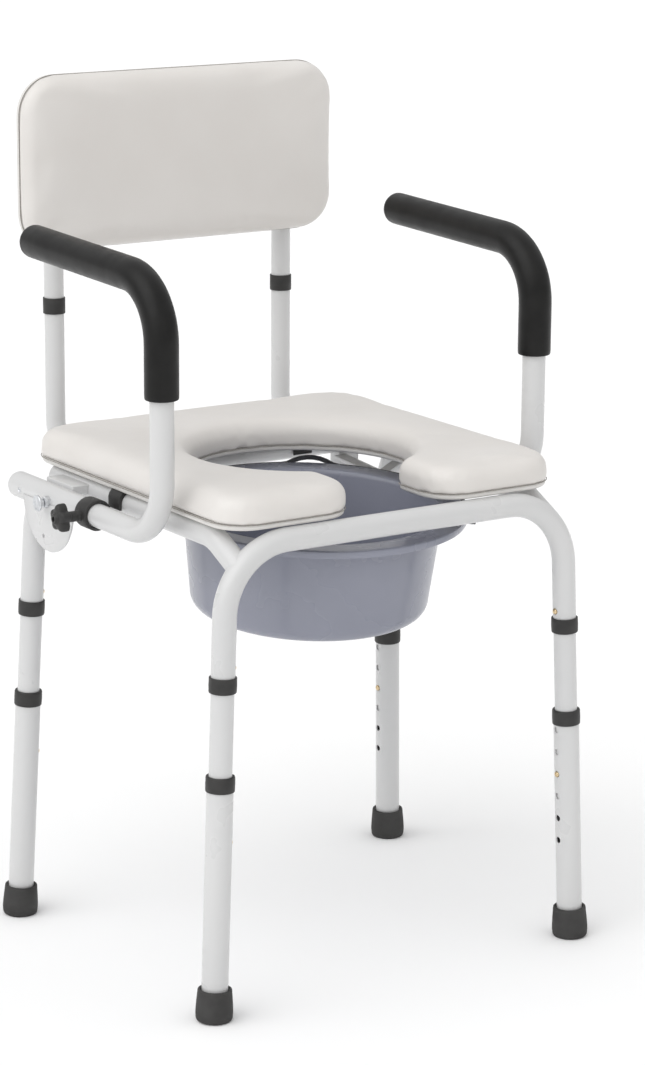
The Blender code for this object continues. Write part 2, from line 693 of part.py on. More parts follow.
def make_lock_pin(side_name, side, arm_axis):
    """Pull pin: a headed shaft that slides in the bush on the sleeve."""
    outward = (0, side * math.pi / 2, 0)
    name = side_name + "_lock_pin"
    head = KNOB_FACE_X - ARM_X - PIN_HEAD_SINK
    pin_outline = [
        (0, head), (0.0082, head), (0.0090, head - 0.0006), (0.0090, head - 0.0022), (0.0084, head - 0.0028),
        (0.0045, head - 0.0034), (0.0040, PIN_BUSH_END + 2 * GAP), (PIN_R, PIN_BUSH_END + GAP),
        (PIN_R, 0.0090), (0.0022, 0.0080), (0, 0.0080),
    ]
    turn(piece(name, profile_mesh(name, pin_outline, False), "zinc", arm_axis, (0, PIN_Y, 0), outward), 12)


def make_arms(chair):
    for side_name, side in SIDES.items():
        arm_axis = axis_empty(side_name + "_arm_axis", chair, (side * ARM_X, 0, SLEEVE_Z))
        make_sleeve(side_name, side, arm_axis)
        make_arm(side_name, side, arm_axis)
        make_arm_collar(side_name, side, arm_axis)
        make_knob(side_name, side, arm_axis)
        make_lock_pin(side_name, side, arm_axis)


# ---------------------------------------------------------------- back
def rounded_rectangle(width, height, radius, steps=8):
    half_w, half_h = width / 2 - radius, height / 2 - radius
    outline = []
    for centre, start in (((half_w, half_h), 0), ((-half_w, half_h), 90), ((-half_w, -half_h), 180),
                          ((half_w, -half_h), 270)):
        outline += arc(centre, radius, start, start + 90, steps)
    return outline


def make_back(chair):
    fat_crossbar = rod_cutter("crossbar_clearance", -0.25, 0.25, FRAME_TUBE_R + GAP, chair,
                              (0, REAR_TOP[1], RAIL_Z), (0, math.pi / 2, 0))
    for side_name, side in SIDES.items():
        x = side * POST_X
        path = fillet([(x, REAR_TOP[1], RAIL_Z), (x, POST_Y, RAIL_Z), (x, POST_Y, POST_TOP)], BACK_BEND_R)
        name = side_name + "_back_post"
        post = piece(name, tube_mesh(name, path, POST_R), "white_paint", chair)
        socket = rod_cutter(side_name + "_post_socket", POST_TOP - 0.056, POST_TOP + 0.01, POST_BORE_R, chair,
                            (x, POST_Y, 0))
        cut(post, fat_crossbar, socket)
        name = side_name + "_back_collar"
        outline = ring(POST_TOP - BACK_COLLAR_HEIGHT / 2, POST_TOP + BACK_COLLAR_HEIGHT / 2,
                       POST_R + GAP, BACK_COLLAR_R)
        turn(piece(name, profile_mesh(name, outline, True), "dark_plastic", chair, (x, POST_Y, 0)))

    foot_z = POST_TOP + 2 * GAP
    left, right = Vector((-POST_X, POST_Y, foot_z)), Vector((POST_X, POST_Y, foot_z))
    lift = Vector((0, 0, HOOP_TOP - foot_z))
    hoop = piece("back_hoop", tube_mesh("back_hoop", fillet([left, left + lift, right + lift, right],
                                                              BACK_BEND_R), POST_R), "white_paint", chair)
    for side_name, side in SIDES.items():
        spigot = cutter(side_name + "_hoop_spigot",
                        profile_mesh(side_name + "_hoop_spigot", rod(POST_TOP - 0.05, POST_TOP + 0.01,
                                                                     HOOP_SPIGOT_R), False),
                        chair, (side * POST_X, POST_Y, 0))
        turn(spigot)
        join(hoop, spigot)

    upright = (math.pi / 2, 0, 0)
    middle_z = (BACK_TOP + BACK_BOTTOM) / 2
    height = BACK_TOP - BACK_BOTTOM
    board = plate_mesh("back_board", rounded_rectangle(BACK_WIDTH, height, BACK_CORNER_R),
                       BACK_BOARD_REAR - BACK_BOARD_FRONT)
    board_y = (BACK_BOARD_REAR + BACK_BOARD_FRONT) / 2
    piece("back_board", board, "board", chair, (0, board_y, middle_z), upright)
    pad_rear = BACK_BOARD_FRONT - GAP
    outline = rounded_rectangle(BACK_WIDTH, height, BACK_CORNER_R)
    pad = plate_mesh("back_pad", outline, pad_rear - BACK_PAD_FRONT)
    pad_y = (pad_rear + BACK_PAD_FRONT) / 2
    pad_piece = piece("back_pad", pad, "vinyl", chair, (0, pad_y, middle_z), upright)
    soften(pad_piece, 0.006)
    return fat_crossbar


def soften(obj, width):
    bevel = obj.modifiers.new("soft_edge", "BEVEL")
    bevel.width = width
    bevel.segments = 1
    bevel.limit_method = "ANGLE"
    bevel.angle_limit = math.radians(60)


# ---------------------------------------------------------------- seat
def seat_outline():
    """Horseshoe seen from above: a rounded square, open to the front through a slot into a round hole."""
    corner = SEAT_CORNER_R
    right, front, back = SEAT_HALF_WIDTH, SEAT_FRONT, SEAT_BACK
    slot, lobe = SEAT_SLOT_HALF_WIDTH, SEAT_LOBE_R
    slot_angle = math.degrees(math.asin(slot / SEAT_HOLE_HALF_WIDTH))
    half = arc((right - corner, back - corner), corner, 90, 0, 8)
    half += arc((right - corner, front + corner), corner, 0, -90, 8)
    half += arc((slot + lobe, front + lobe), lobe, -90, -180, 8)
    for x, y in arc((0, 0), 1.0, -90 + slot_angle, 90, 18):
        half.append((x * SEAT_HOLE_HALF_WIDTH, SEAT_HOLE_Y + y * SEAT_HOLE_HALF_DEPTH))
    mirrored = [(-x, y) for x, y in reversed(half[:-1])]
    return half + mirrored


def make_seat(chair, fat_crossbar, fat_rails):
    """Padded board on saddle clips, which are open below so that the seat lifts off."""
    board = plate_mesh("seat_board", seat_outline(), SEAT_BOARD_TOP - SEAT_BOARD_BOTTOM)
    seat = piece("seat_board", board, "board", chair, (0, 0, (SEAT_BOARD_TOP + SEAT_BOARD_BOTTOM) / 2))
    half, outer, inner = CLIP_WIDTH / 2, FRAME_TUBE_R + 0.0035, FRAME_TUBE_R + GAP
    top = SEAT_BOARD_BOTTOM + 0.003
    for side_name, side in SIDES.items():
        x = side * SIDE_RAIL_X
        clip = box_mesh(side_name + "_side_clip", (x - outer, SIDE_CLIP_Y - half, CLIP_BOTTOM),
                        (x + outer, SIDE_CLIP_Y + half, top))
        slot = box_mesh(side_name + "_side_slot", (x - inner, SIDE_CLIP_Y - 0.02, CLIP_BOTTOM - 0.01),
                        (x + inner, SIDE_CLIP_Y + 0.02, RAIL_Z))
        join(seat, cutter(side_name + "_side_clip", clip, chair))
        cut(seat, cutter(side_name + "_side_slot", slot, chair))
        x = side * REAR_CLIP_X
        clip = box_mesh(side_name + "_rear_clip", (x - half, REAR_TOP[1] - outer, CLIP_BOTTOM),
                        (x + half, REAR_TOP[1] + outer, top))
        slot = box_mesh(side_name + "_rear_slot", (x - 0.02, REAR_TOP[1] - inner, CLIP_BOTTOM - 0.01),
                        (x + 0.02, REAR_TOP[1] + inner, RAIL_Z))
        join(seat, cutter(side_name + "_rear_clip", clip, chair))
        cut(seat, cutter(side_name + "_rear_slot", slot, chair))
    cut(seat, fat_crossbar, *fat_rails)
    low = SEAT_BOARD_TOP + GAP
    pad = plate_mesh("seat_pad", seat_outline(), SEAT_PAD_TOP - low)
    soften(piece("seat_pad", pad, "vinyl", chair, (0, 0, (SEAT_PAD_TOP + low) / 2)), 0.010)


# ---------------------------------------------------------------- bucket
def make_bucket(bucket_axis, handle_axis):
    """Round pail with a wide flange, a turned-down lip and two pivots for its handle."""
    wall, corner = BUCKET_WALL, BUCKET_CORNER_R
    inner_corner = arc((BUCKET_BASE_R - corner, corner - BUCKET_DEPTH), corner - wall, -90, 0, 4)
    outer_corner = arc((BUCKET_BASE_R - corner, corner - BUCKET_DEPTH), corner, 0, -90, 4)
    outline = [(0, wall - BUCKET_DEPTH)] + inner_corner
    outline += [
        (BUCKET_MOUTH_R - wall, -0.003), (BUCKET_MOUTH_R + 0.001, 0), (BUCKET_FLANGE_R - 0.0015, 0),
        (BUCKET_FLANGE_R, -0.0015), (BUCKET_FLANGE_R, -BUCKET_LIP), (BUCKET_FLANGE_R - wall, -BUCKET_LIP),
        (BUCKET_FLANGE_R - wall, -wall), (BUCKET_MOUTH_R, -wall),
    ]
    outline += outer_corner + [(0, -BUCKET_DEPTH)]
    bucket = piece("bucket", profile_mesh("bucket", outline, False), "bucket_plastic", bucket_axis)
    turn(bucket, 24)
    for side_name, side in SIDES.items():
        pivot = cutter(side_name + "_pivot", profile_mesh(side_name + "_pivot",
                                                          rod(BUCKET_FLANGE_R - 0.0015, HANDLE_R + 0.003,
                                                              PIVOT_R), False),
                       handle_axis, (0, 0, -BUCKET_LIP / 2), (0, side * math.pi / 2, 0))
        join(bucket, turn(pivot, HOLE_STEPS))


def make_bucket_handle(handle_axis):
    """Half-ring of wire that lies round the flange, with a raised grip and an eye at each end."""
    steps = 26
    path = []
    for step in range(steps + 1):
        angle = math.pi * (0.012 + 0.976 * step / steps)
        rise = HANDLE_ARCH * max(0.0, 1 - ((angle - math.radians(HANDLE_ARCH_AT)) / 0.16) ** 2)
        path.append((HANDLE_R * math.cos(angle), HANDLE_R * math.sin(angle), rise - HANDLE_DROP))
    wire = tube_mesh("bucket_handle", path, HANDLE_WIRE_R)
    handle = piece("bucket_handle", wire, "dark_plastic", handle_axis)
    for side_name, side in SIDES.items():
        near, far = sorted((side * (BUCKET_FLANGE_R + 2 * GAP), side * (HANDLE_R + 0.0045)))
        eye = box_mesh(side_name + "_eye", (near, -0.008, -0.0090), (far, 0.008, 0.0))
        join(handle, cutter(side_name + "_eye", eye, handle_axis))
        cut(handle, cross_hole(side_name + "_eye_hole", 0.2, PIVOT_R + 0.0004, handle_axis,
                               (0, 0, -BUCKET_LIP / 2), side))


def make_bucket_rails(chair, bucket_axis, fat_crossbar, fat_rails):
    """Two flat bars that carry the bucket's lip.  Each hangs from the rear crossbar and from a side rail."""
    top = -BUCKET_LIP - GAP
    for (side_name, side), fat_rail in zip(SIDES.items(), fat_rails):
        near, far = sorted((side * RAIL_INNER_X, side * RAIL_OUTER_X))
        name = side_name + "_bucket_rail"
        rail = piece(name, box_mesh(name, (near, RAIL_FRONT, top - RAIL_THICKNESS), (far, RAIL_BACK, top)),
                     "white_paint", bucket_axis)
        near, far = sorted((side * HANGER_INNER_X, side * HANGER_OUTER_X))
        hanger = box_mesh(side_name + "_hanger", (near, HANGER_FRONT_Y, HANGER_BOTTOM),
                          (far, REAR_TOP[1], RAIL_Z))
        rail_z = BUCKET_RIM_Z + top + (STRAP_Y - BUCKET_Y) * math.tan(math.radians(BUCKET_TILT))
        rise = Vector((SIDE_RAIL_X - RAIL_OUTER_X, 0, RAIL_Z - rail_z))
        strap = box_mesh(side_name + "_strap", (-STRAP_THICKNESS / 2, -STRAP_WIDTH / 2, -STRAP_SINK),
                         (STRAP_THICKNESS / 2, STRAP_WIDTH / 2, rise.length - STRAP_SINK))
        slant = side * math.atan2(rise.x, rise.z)
        join(rail, cutter(side_name + "_hanger", hanger, chair),
             cutter(side_name + "_strap", strap, chair, (side * RAIL_OUTER_X, STRAP_Y, rail_z - 0.001),
                    (0, slant, 0)))
        cut(rail, fat_rail, fat_crossbar)


# ---------------------------------------------------------------- assembly
def build():
    chair = axis_empty("commode_chair", None, (0, -CHAIR_CENTRE_Y, 0))
    legs = leg_axis_empties(chair)
    fat_rails = make_frame(chair, legs)
    make_legs(chair, legs)
    make_arms(chair)
    fat_crossbar = make_back(chair)
    make_seat(chair, fat_crossbar, fat_rails)
    tilt = math.radians(BUCKET_TILT)
    bucket_axis = axis_empty("bucket_axis", chair, (0, BUCKET_Y, BUCKET_RIM_Z), (tilt, 0, 0))
    handle_axis = axis_empty("handle_axis", bucket_axis, (0, 0, 0), (0, 0, math.radians(HANDLE_TURN)))
    make_bucket(bucket_axis, handle_axis)
    make_bucket_handle(handle_axis)
    make_bucket_rails(chair, bucket_axis, fat_crossbar, fat_rails)


clear_scene()
PARTS = new_collection("commode_chair")
CUTTERS = new_collection("cutters")
make_materials()
build()
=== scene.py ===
"""Looks of the commode chair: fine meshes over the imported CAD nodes, upholstery by cloth simulation,
procedural materials, a pale floor, soft light and the camera.

Metres, +Z up; the chair faces -Y.  Sizes and places are the chair's own, measured from the same centre as
the CAD model before it is centred in depth, so at() turns them into the scene's frame.
"""
import math

import bmesh
import bpy
from mathutils import Matrix, Vector
from mathutils.geometry import tessellate_polygon
from mathutils.kdtree import KDTree


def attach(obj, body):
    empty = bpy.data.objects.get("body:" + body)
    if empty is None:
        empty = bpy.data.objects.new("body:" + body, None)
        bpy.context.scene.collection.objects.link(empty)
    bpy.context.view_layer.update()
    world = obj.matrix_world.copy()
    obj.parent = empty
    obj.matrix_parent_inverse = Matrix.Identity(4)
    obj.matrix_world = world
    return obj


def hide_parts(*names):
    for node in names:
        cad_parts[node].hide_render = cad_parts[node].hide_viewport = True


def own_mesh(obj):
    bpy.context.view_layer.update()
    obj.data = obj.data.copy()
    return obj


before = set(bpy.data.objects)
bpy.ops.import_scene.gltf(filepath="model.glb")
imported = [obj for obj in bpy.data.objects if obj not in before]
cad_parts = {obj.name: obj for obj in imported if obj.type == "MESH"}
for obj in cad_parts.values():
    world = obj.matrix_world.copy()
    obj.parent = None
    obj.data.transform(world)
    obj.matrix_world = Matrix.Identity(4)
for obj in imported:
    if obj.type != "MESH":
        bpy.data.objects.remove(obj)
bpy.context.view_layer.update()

# ---------------------------------------------------------------- sizes
CENTRE_Y = 0.0719               # depth of the middle of the chair's box
GAP = 0.0003

TUBE_R = 0.0127
RAIL_Z = 0.500
SIDE_RAIL_X = 0.195
SIDE_RAIL_BACK = 0.225
RAIL_DIP_R, RAIL_DIP_Y, RAIL_DIP_Z = 0.060, -0.1050, 0.4760     # the side rails dip here to meet the front bends
FRONT_BEND_R = 0.075
FRONT_TOP, FRONT_FLOOR = (0.2118, -0.1550), (0.2315, -0.1615)
REAR_TOP, REAR_FLOOR = (0.2320, 0.2083), (0.2510, 0.2270)
KNEE_Z = 0.452
HEAD_Y = 0.194

FRAME_TUBE_END = 0.3584
SPIGOT_R, SPIGOT_TOP = 0.0107, 0.4000
MIDDLE_R, MIDDLE_BORE_R, MIDDLE_BOTTOM = 0.0122, 0.0092, 0.1570
FRAME_COLLAR = (0.3505, 0.3672, 0.0145)      # bottom, top, radius
LEG_COLLAR = (0.2465, 0.2630, 0.01525)
LOWER_R, LOWER_BORE_R = 0.0140, 0.0126
LOWER_BOTTOM, LOWER_TOP = 0.0065, 0.2600
FRAME_BUTTON_H = 0.3755
TOP_HOLE_H, HOLE_PITCH, HOLE_COUNT, HOLE_R = 0.2410, 0.0254, 6, 0.0036
HEIGHT_BUTTON_H = TOP_HOLE_H - 2 * HOLE_PITCH
BUTTON_R = 0.0032

ARM_X, SLEEVE_Z, SLEEVE_R = 0.235, 0.4915, 0.0143
SLEEVE_FRONT, SLEEVE_BACK = 0.0885, 0.2450
ARM_BORE_BACK, ARM_TUBE_BACK = 0.1800, 0.1720
ARM_POST_Y = -0.0680
GRIP_FRONT_Z, GRIP_BACK_Z, GRIP_R, GRIP_TIP_Y, GRIP_LOWER_END = 0.7585, 0.7665, 0.0180, 0.2050, 0.6400
ARM_LOWER_BEND_R, ARM_UPPER_BEND_R = 0.062, 0.064
COLLAR_FRONT, COLLAR_R = 0.0655, 0.0168
KNOB_Y, KNOB_FACE, KNOB_DEPTH, KNOB_R, KNOB_LOBES = 0.0770, 0.0480, 0.0150, 0.0158, 5
PIN_HEAD = KNOB_FACE - 0.0195
PIN_Y, PIN_R, PIN_BUSH_END = 0.1500, 0.0030, 0.0205
GUSSET_R, GUSSET_INNER, GUSSET_OUTER = 0.0550, 0.0126, 0.0150

POST_X, POST_Y, POST_R, POST_TOP, HOOP_TOP = 0.150, 0.3125, 0.0111, 0.6722, 0.9000
BACK_BEND_R, BACK_COLLAR_R = 0.045, 0.0125
BACK_WIDTH, BACK_BOTTOM, BACK_TOP, BACK_CORNER_R = 0.400, 0.7380, 0.9300, 0.042
BACK_BOARD_FRONT, BACK_BOARD_REAR, BACK_PAD_FRONT = 0.2945, 0.3011, 0.2735

SEAT_HALF_WIDTH, SEAT_FRONT, SEAT_BACK, SEAT_CORNER_R = 0.2105, -0.1575, 0.2700, 0.040
SEAT_BOARD_BOTTOM, SEAT_BOARD_TOP, SEAT_PAD_TOP = 0.5131, 0.5191, 0.5510
SEAT_HOLE_Y, SEAT_HOLE_R, SEAT_SLOT, SEAT_LOBE_R = 0.0350, 0.120, 0.049, 0.040
CLIP_WIDTH, CLIP_BOTTOM, SIDE_CLIP_Y, REAR_CLIP_X = 0.024, 0.494, 0.075, 0.105

BUCKET_Y, BUCKET_RIM_Z, BUCKET_TILT = 0.0110, 0.4850, 3.9
BUCKET_FLANGE_R, BUCKET_LIP, BUCKET_MOUTH_R, BUCKET_BASE_R = 0.1680, 0.0080, 0.1412, 0.1302
BUCKET_DEPTH, BUCKET_CORNER_R, BUCKET_WALL = 0.1164, 0.018, 0.0022
HANDLE_TURN, HANDLE_R, HANDLE_WIRE_R, HANDLE_DROP = -38.0, 0.1727, 0.0028, 0.0044
HANDLE_ARCH, HANDLE_ARCH_AT, PIVOT_R = 0.0086, 96.0, 0.0020
RAIL_INNER_X, RAIL_OUTER_X, RAIL_THICKNESS = 0.146, 0.162, 0.0045
RAIL_FRONT, RAIL_BACK, STRAP_Y = -0.041, 0.1790, 0.112
HANGER = ((0.152, 0.1880, 0.4660), (0.178, 0.2083, 0.500))

WELD_STEPS, WELD_R = 72, 0.0016

SIDES = {"left": -1, "right": 1}
CORNERS = {
    "front_left": (-1, FRONT_TOP, FRONT_FLOOR),
    "front_right": (1, FRONT_TOP, FRONT_FLOOR),
    "rear_left": (-1, REAR_TOP, REAR_FLOOR),
    "rear_right": (1, REAR_TOP, REAR_FLOOR),
}

# Camera: aimed at a point over the chair's middle, from the left front and a little above
CAMERA_AZIMUTH, CAMERA_ELEVATION, CAMERA_ROLL = -33.19, 14.02, 0.32
CAMERA_DISTANCE, CAMERA_TARGET_Z = 3.6085, 0.45
CAMERA_LENS, CAMERA_SENSOR = 112.77, 36.0
CAMERA_SHIFT = (0.00404, 0.00535)


def at(x, y, z):
    """A point of the chair, in the scene's frame."""
    return Vector((x, y - CENTRE_Y, z))


def shift(x, y, z):
    return Matrix.Translation((x, y, z))


def place(x, y, z):
    """Move to a point of the chair."""
    return Matrix.Translation(at(x, y, z))


def spin(degrees, axis):
    return Matrix.Rotation(math.radians(degrees), 4, axis)


# ---------------------------------------------------------------- materials
def new_material(name, color, roughness, metallic=0.0, coat=0.0, sheen=0.0, specular=0.5):
    material = bpy.data.materials.new(name)
    material.use_nodes = True
    tree = material.node_tree
    shader = tree.nodes["Principled BSDF"]
    settings = {"Base Color": (*color, 1.0), "Roughness": roughness, "Metallic": metallic,
                "Specular IOR Level": specular, "Coat Weight": coat, "Coat Roughness": 0.12,
                "Sheen Weight": sheen, "Sheen Roughness": 0.4}
    for socket, value in settings.items():
        shader.inputs[socket].default_value = value
    return material, tree, shader


def link(tree, source, target):
    tree.links.new(source, target)


def texture(tree, kind, settings):
    """A texture in the piece's own coordinates."""
    node = tree.nodes.new(kind)
    for socket, value in settings.items():
        node.inputs[socket].default_value = value
    link(tree, tree.nodes.new("ShaderNodeTexCoord").outputs["Object"], node.inputs["Vector"])
    return node


def noise(tree, scale, detail=3.0):
    settings = {"Scale": scale, "Detail": detail, "Roughness": 0.5}
    return texture(tree, "ShaderNodeTexNoise", settings).outputs["Fac"]


def cells(tree, scale, feature):
    node = texture(tree, "ShaderNodeTexVoronoi", {"Scale": scale})
    node.feature = feature
    return node.outputs["Distance"]


def mottle(tree, shader, first, second, scale, detail=3.0):
    """Let the base colour wander between two colours."""
    ramp = tree.nodes.new("ShaderNodeValToRGB")
    for element, position, color in zip(ramp.color_ramp.elements, (0.35, 0.65), (first, second)):
        element.position = position
        element.color = (*color, 1.0)
    link(tree, noise(tree, scale, detail), ramp.inputs["Fac"])
    link(tree, ramp.outputs["Color"], shader.inputs["Base Color"])


def spread(tree, value, source, target):
    """Map a range of a value onto another range."""
    node = tree.nodes.new("ShaderNodeMapRange")
    for socket, limit in zip(("From Min", "From Max", "To Min", "To Max"), source + target):
        node.inputs[socket].default_value = limit
    link(tree, value, node.inputs["Value"])
    return node


def vary_roughness(tree, shader, low, high, scale):
    wander = spread(tree, noise(tree, scale), (0.3, 0.7), (low, high))
    link(tree, wander.outputs["Result"], shader.inputs["Roughness"])


def bump(tree, shader, height, strength, distance, after=None):
    """Add one layer of relief; after is the normal from a layer below it."""
    node = tree.nodes.new("ShaderNodeBump")
    node.inputs["Strength"].default_value = strength
    node.inputs["Distance"].default_value = distance
    link(tree, height, node.inputs["Height"])
    if after is not None:
        link(tree, after, node.inputs["Normal"])
    link(tree, node.outputs["Normal"], shader.inputs["Normal"])
    return node.outputs["Normal"]


# Each finish: colour, roughness, shader settings; the patches of its colour (first, second, scale, detail); the range
# and scale of its roughness; layers of relief from coarse to fine (texture, scale, detail, strength, distance)
FINISHES = {
    # powder coat: a faint orange peel under gloss
    "white_paint": ((0.615, 0.615, 0.615), 0.30, {"coat": 0.25},
                    ((0.608, 0.609, 0.610), (0.624, 0.624, 0.622), 5.0, 3.0), (0.26, 0.36, 14.0),
                    (("noise", 420.0, 1.0, 0.06, 0.0003),)),
    # moulded collars, knobs and clips: a fine spark-eroded texture
    "dark_plastic": ((0.034, 0.033, 0.032), 0.46, {"specular": 0.3},
                     ((0.030, 0.0295, 0.029), (0.039, 0.038, 0.037), 60.0, 3.0), (0.40, 0.55, 90.0),
                     (("noise", 1600.0, 2.0, 0.22, 0.0003),)),
    # skin of the foam grips: small cells
    "foam_grip": ((0.008, 0.0078, 0.0076), 0.42, {"specular": 0.22},
                  ((0.0065, 0.0063, 0.0061), (0.0100, 0.0098, 0.0095), 45.0, 3.0), (0.32, 0.42, 70.0),
                  (("noise", 30.0, 2.0, 0.10, 0.002), ("F1", 1300.0, 0.0, 0.16, 0.0003))),
    # rubber feet: matt, with moulding haze and a little dust
    "rubber": ((0.040, 0.039, 0.038), 0.62, {"specular": 0.3},
               ((0.035, 0.034, 0.033), (0.050, 0.049, 0.048), 38.0, 5.0), (0.60, 0.78, 30.0),
               (("noise", 900.0, 3.0, 0.20, 0.0003),)),
    "brass": ((0.72, 0.56, 0.33), 0.28, {"metallic": 1.0},
              ((0.66, 0.50, 0.29), (0.78, 0.64, 0.42), 220.0, 3.0), (0.20, 0.38, 260.0), ()),
    "zinc": ((0.66, 0.68, 0.70), 0.34, {"metallic": 1.0},
             ((0.58, 0.60, 0.62), (0.74, 0.75, 0.77), 300.0, 3.0), (0.26, 0.44, 240.0),
             (("noise", 700.0, 2.0, 0.08, 0.0002),)),
    # wipe-clean vinyl: slow tone changes, soft creases and a fine leather grain
    "vinyl": ((0.66, 0.64, 0.605), 0.42, {"sheen": 0.10},
              ((0.690, 0.662, 0.632), (0.722, 0.697, 0.670), 7.0, 3.0), (0.36, 0.48, 26.0),
              (("noise", 24.0, 2.0, 0.12, 0.0015), ("noise", 160.0, 3.0, 0.05, 0.0006),
               ("SMOOTH_F1", 850.0, 0.0, 0.16, 0.0003))),
    # bands of the seat and back boards: the same cream, moulded
    "board": ((0.70, 0.69, 0.665), 0.44, {},
              ((0.700, 0.684, 0.658), (0.736, 0.720, 0.696), 16.0, 3.0), (0.38, 0.52, 40.0),
              (("noise", 700.0, 2.0, 0.10, 0.0003),)),
    "seam_thread": ((0.30, 0.28, 0.26), 0.8, {},
                    ((0.26, 0.24, 0.22), (0.36, 0.34, 0.315), 600.0, 3.0), (),
                    (("noise", 2400.0, 2.0, 0.3, 0.0003),)),
    # bucket: semi-gloss grey polypropylene with flow marks
    "bucket_plastic": ((0.25, 0.26, 0.31), 0.28, {"coat": 0.2},
                       ((0.225, 0.235, 0.290), (0.262, 0.272, 0.330), 5.0, 4.0), (0.22, 0.34, 12.0),
                       (("noise", 11.0, 2.0, 0.16, 0.003), ("noise", 850.0, 2.0, 0.06, 0.0003))),
    "handle_plastic": ((0.045, 0.045, 0.052), 0.36, {},
                       ((0.040, 0.040, 0.046), (0.054, 0.054, 0.062), 80.0, 3.0), (0.30, 0.44, 90.0),
                       (("noise", 1100.0, 2.0, 0.12, 0.0003),)),
    "floor_paper": ((0.96, 0.96, 0.96), 0.9, {"specular": 0.0},
                    ((0.955, 0.955, 0.955), (0.965, 0.965, 0.965), 2.0, 3.0), (), ()),
}


def make_material(name):
    color, roughness, settings, patches, wander, relief = FINISHES[name]
    material, tree, shader = new_material(name, color, roughness, **settings)
    mottle(tree, shader, *patches)
    if wander:
        vary_roughness(tree, shader, *wander)
    layer = None
    for kind, scale, detail, strength, distance in relief:
        height = noise(tree, scale, detail) if kind == "noise" else cells(tree, scale, kind)
        layer = bump(tree, shader, height, strength, distance, layer)
    return material


MATERIALS = {name: make_material(name) for name in FINISHES}


# ---------------------------------------------------------------- mesh helpers
def to_mesh(name, shape, sharp=35.0):
    """Close a bmesh into a smooth-shaded mesh whose creases stay sharp."""
    bmesh.ops.recalc_face_normals(shape, faces=shape.faces)
    mesh = bpy.data.meshes.new(name)
    shape.to_mesh(mesh)
    shape.free()
    mesh.shade_smooth()
    mesh.set_sharp_from_angle(angle=math.radians(sharp))
    return mesh


def add_piece(name, mesh, material, body, nodes=(), matrix=None):
    """Show a mesh as part of the chair: it rides on body and stands for the named CAD nodes."""
    if matrix is not None:
        mesh.transform(matrix)
    obj = bpy.data.objects.new(name, mesh)
    bpy.context.scene.collection.objects.link(obj)
    mesh.materials.clear()
    mesh.materials.append(MATERIALS[material])
    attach(obj, body)
    if nodes:
        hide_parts(*nodes)
    return obj


def ring_frames(path):
    """A frame at each point of a path, turned as little as possible from one to the next."""
    frames = []
    side = None
    for index, point in enumerate(path):
        before = path[max(index - 1, 0)]
        after = path[min(index + 1, len(path) - 1)]
        along = (after - before).normalized()
        if side is None:
            helper = Vector((0, 0, 1)) if abs(along.z) < 0.9 else Vector((1, 0, 0))
            side = along.cross(helper).normalized()
        side = (side - along * side.dot(along)).normalized()
        frames.append((point, side, along.cross(side)))
    return frames


def bridge(shape, first, second):
    count = len(first)
    for index in range(count):
        after = (index + 1) % count
        shape.faces.new((first[index], first[after], second[after], second[index]))


def circle(shape, centre, side, up, radius, sides):
    """The vertices of a ring round a point."""
    ring = []
    for step in range(sides):
        angle = 2 * math.pi * step / sides
        ring.append(shape.verts.new(centre + side * radius * math.cos(angle) + up * radius * math.sin(angle)))
    return ring


def sweep(shape, path, radii, sides=32):
    """A closed round bar along a path, with one radius for each of its points."""
    rings = [circle(shape, *spot, radius, sides) for spot, radius in zip(ring_frames(path), radii)]
    for first, second in zip(rings, rings[1:]):
        bridge(shape, first, second)
    for ring in (rings[0], rings[-1]):
        shape.faces.new(ring)


def closed_bead(name, rows, sides, sharp):
    """A closed cord through rows of centre, side, up and radius."""
    shape = bmesh.new()
    rings = [circle(shape, *row, sides) for row in rows]
    for index, ring in enumerate(rings):
        bridge(shape, ring, rings[(index + 1) % len(rings)])
    return to_mesh(name, shape, sharp)


def rounded_ends(path, radius, edge):
    """The points and radii of a bar whose rims are rounded at both ends."""
    share = ((0.0, 1.0), (0.12, 0.50), (0.40, 0.18), (1.0, 0.0))      # depth, and how much the radius shrinks
    inward = (path[1] - path[0]).normalized()
    outward = (path[-2] - path[-1]).normalized()
    rows = [(path[0] + inward * edge * depth, radius - edge * shrink) for depth, shrink in share]
    rows += [(point, radius) for point in path[1:-1]]
    rows += [(path[-1] + outward * edge * depth, radius - edge * shrink) for depth, shrink in reversed(share)]
    return [point for point, _ in rows], [size for _, size in rows]


def fillet(points, radius, steps=18):
    """The path through points with its corners rounded by an arc."""
    path = [Vector(points[0])]
    for before, corner, after in zip(points, points[1:], points[2:]):
        corner = Vector(corner)
        to_before = (Vector(before) - corner).normalized()
        to_after = (Vector(after) - corner).normalized()
        half = to_before.angle(to_after) / 2
        centre = corner + (to_before + to_after).normalized() * radius / math.sin(half)
        start = corner + to_before * radius / math.tan(half) - centre
        axis = start.cross(corner - centre).normalized()
        sweep_angle = math.pi - 2 * half
        for step in range(steps + 1):
            path.append(centre + Matrix.Rotation(sweep_angle * step / steps, 3, axis) @ start)
    path.append(Vector(points[-1]))
    return path


def tube_mesh(name, path, radius, edge=0.0008, sides=32):
    shape = bmesh.new()
    sweep(shape, *rounded_ends(path, radius, edge), sides)
    return to_mesh(name, shape)




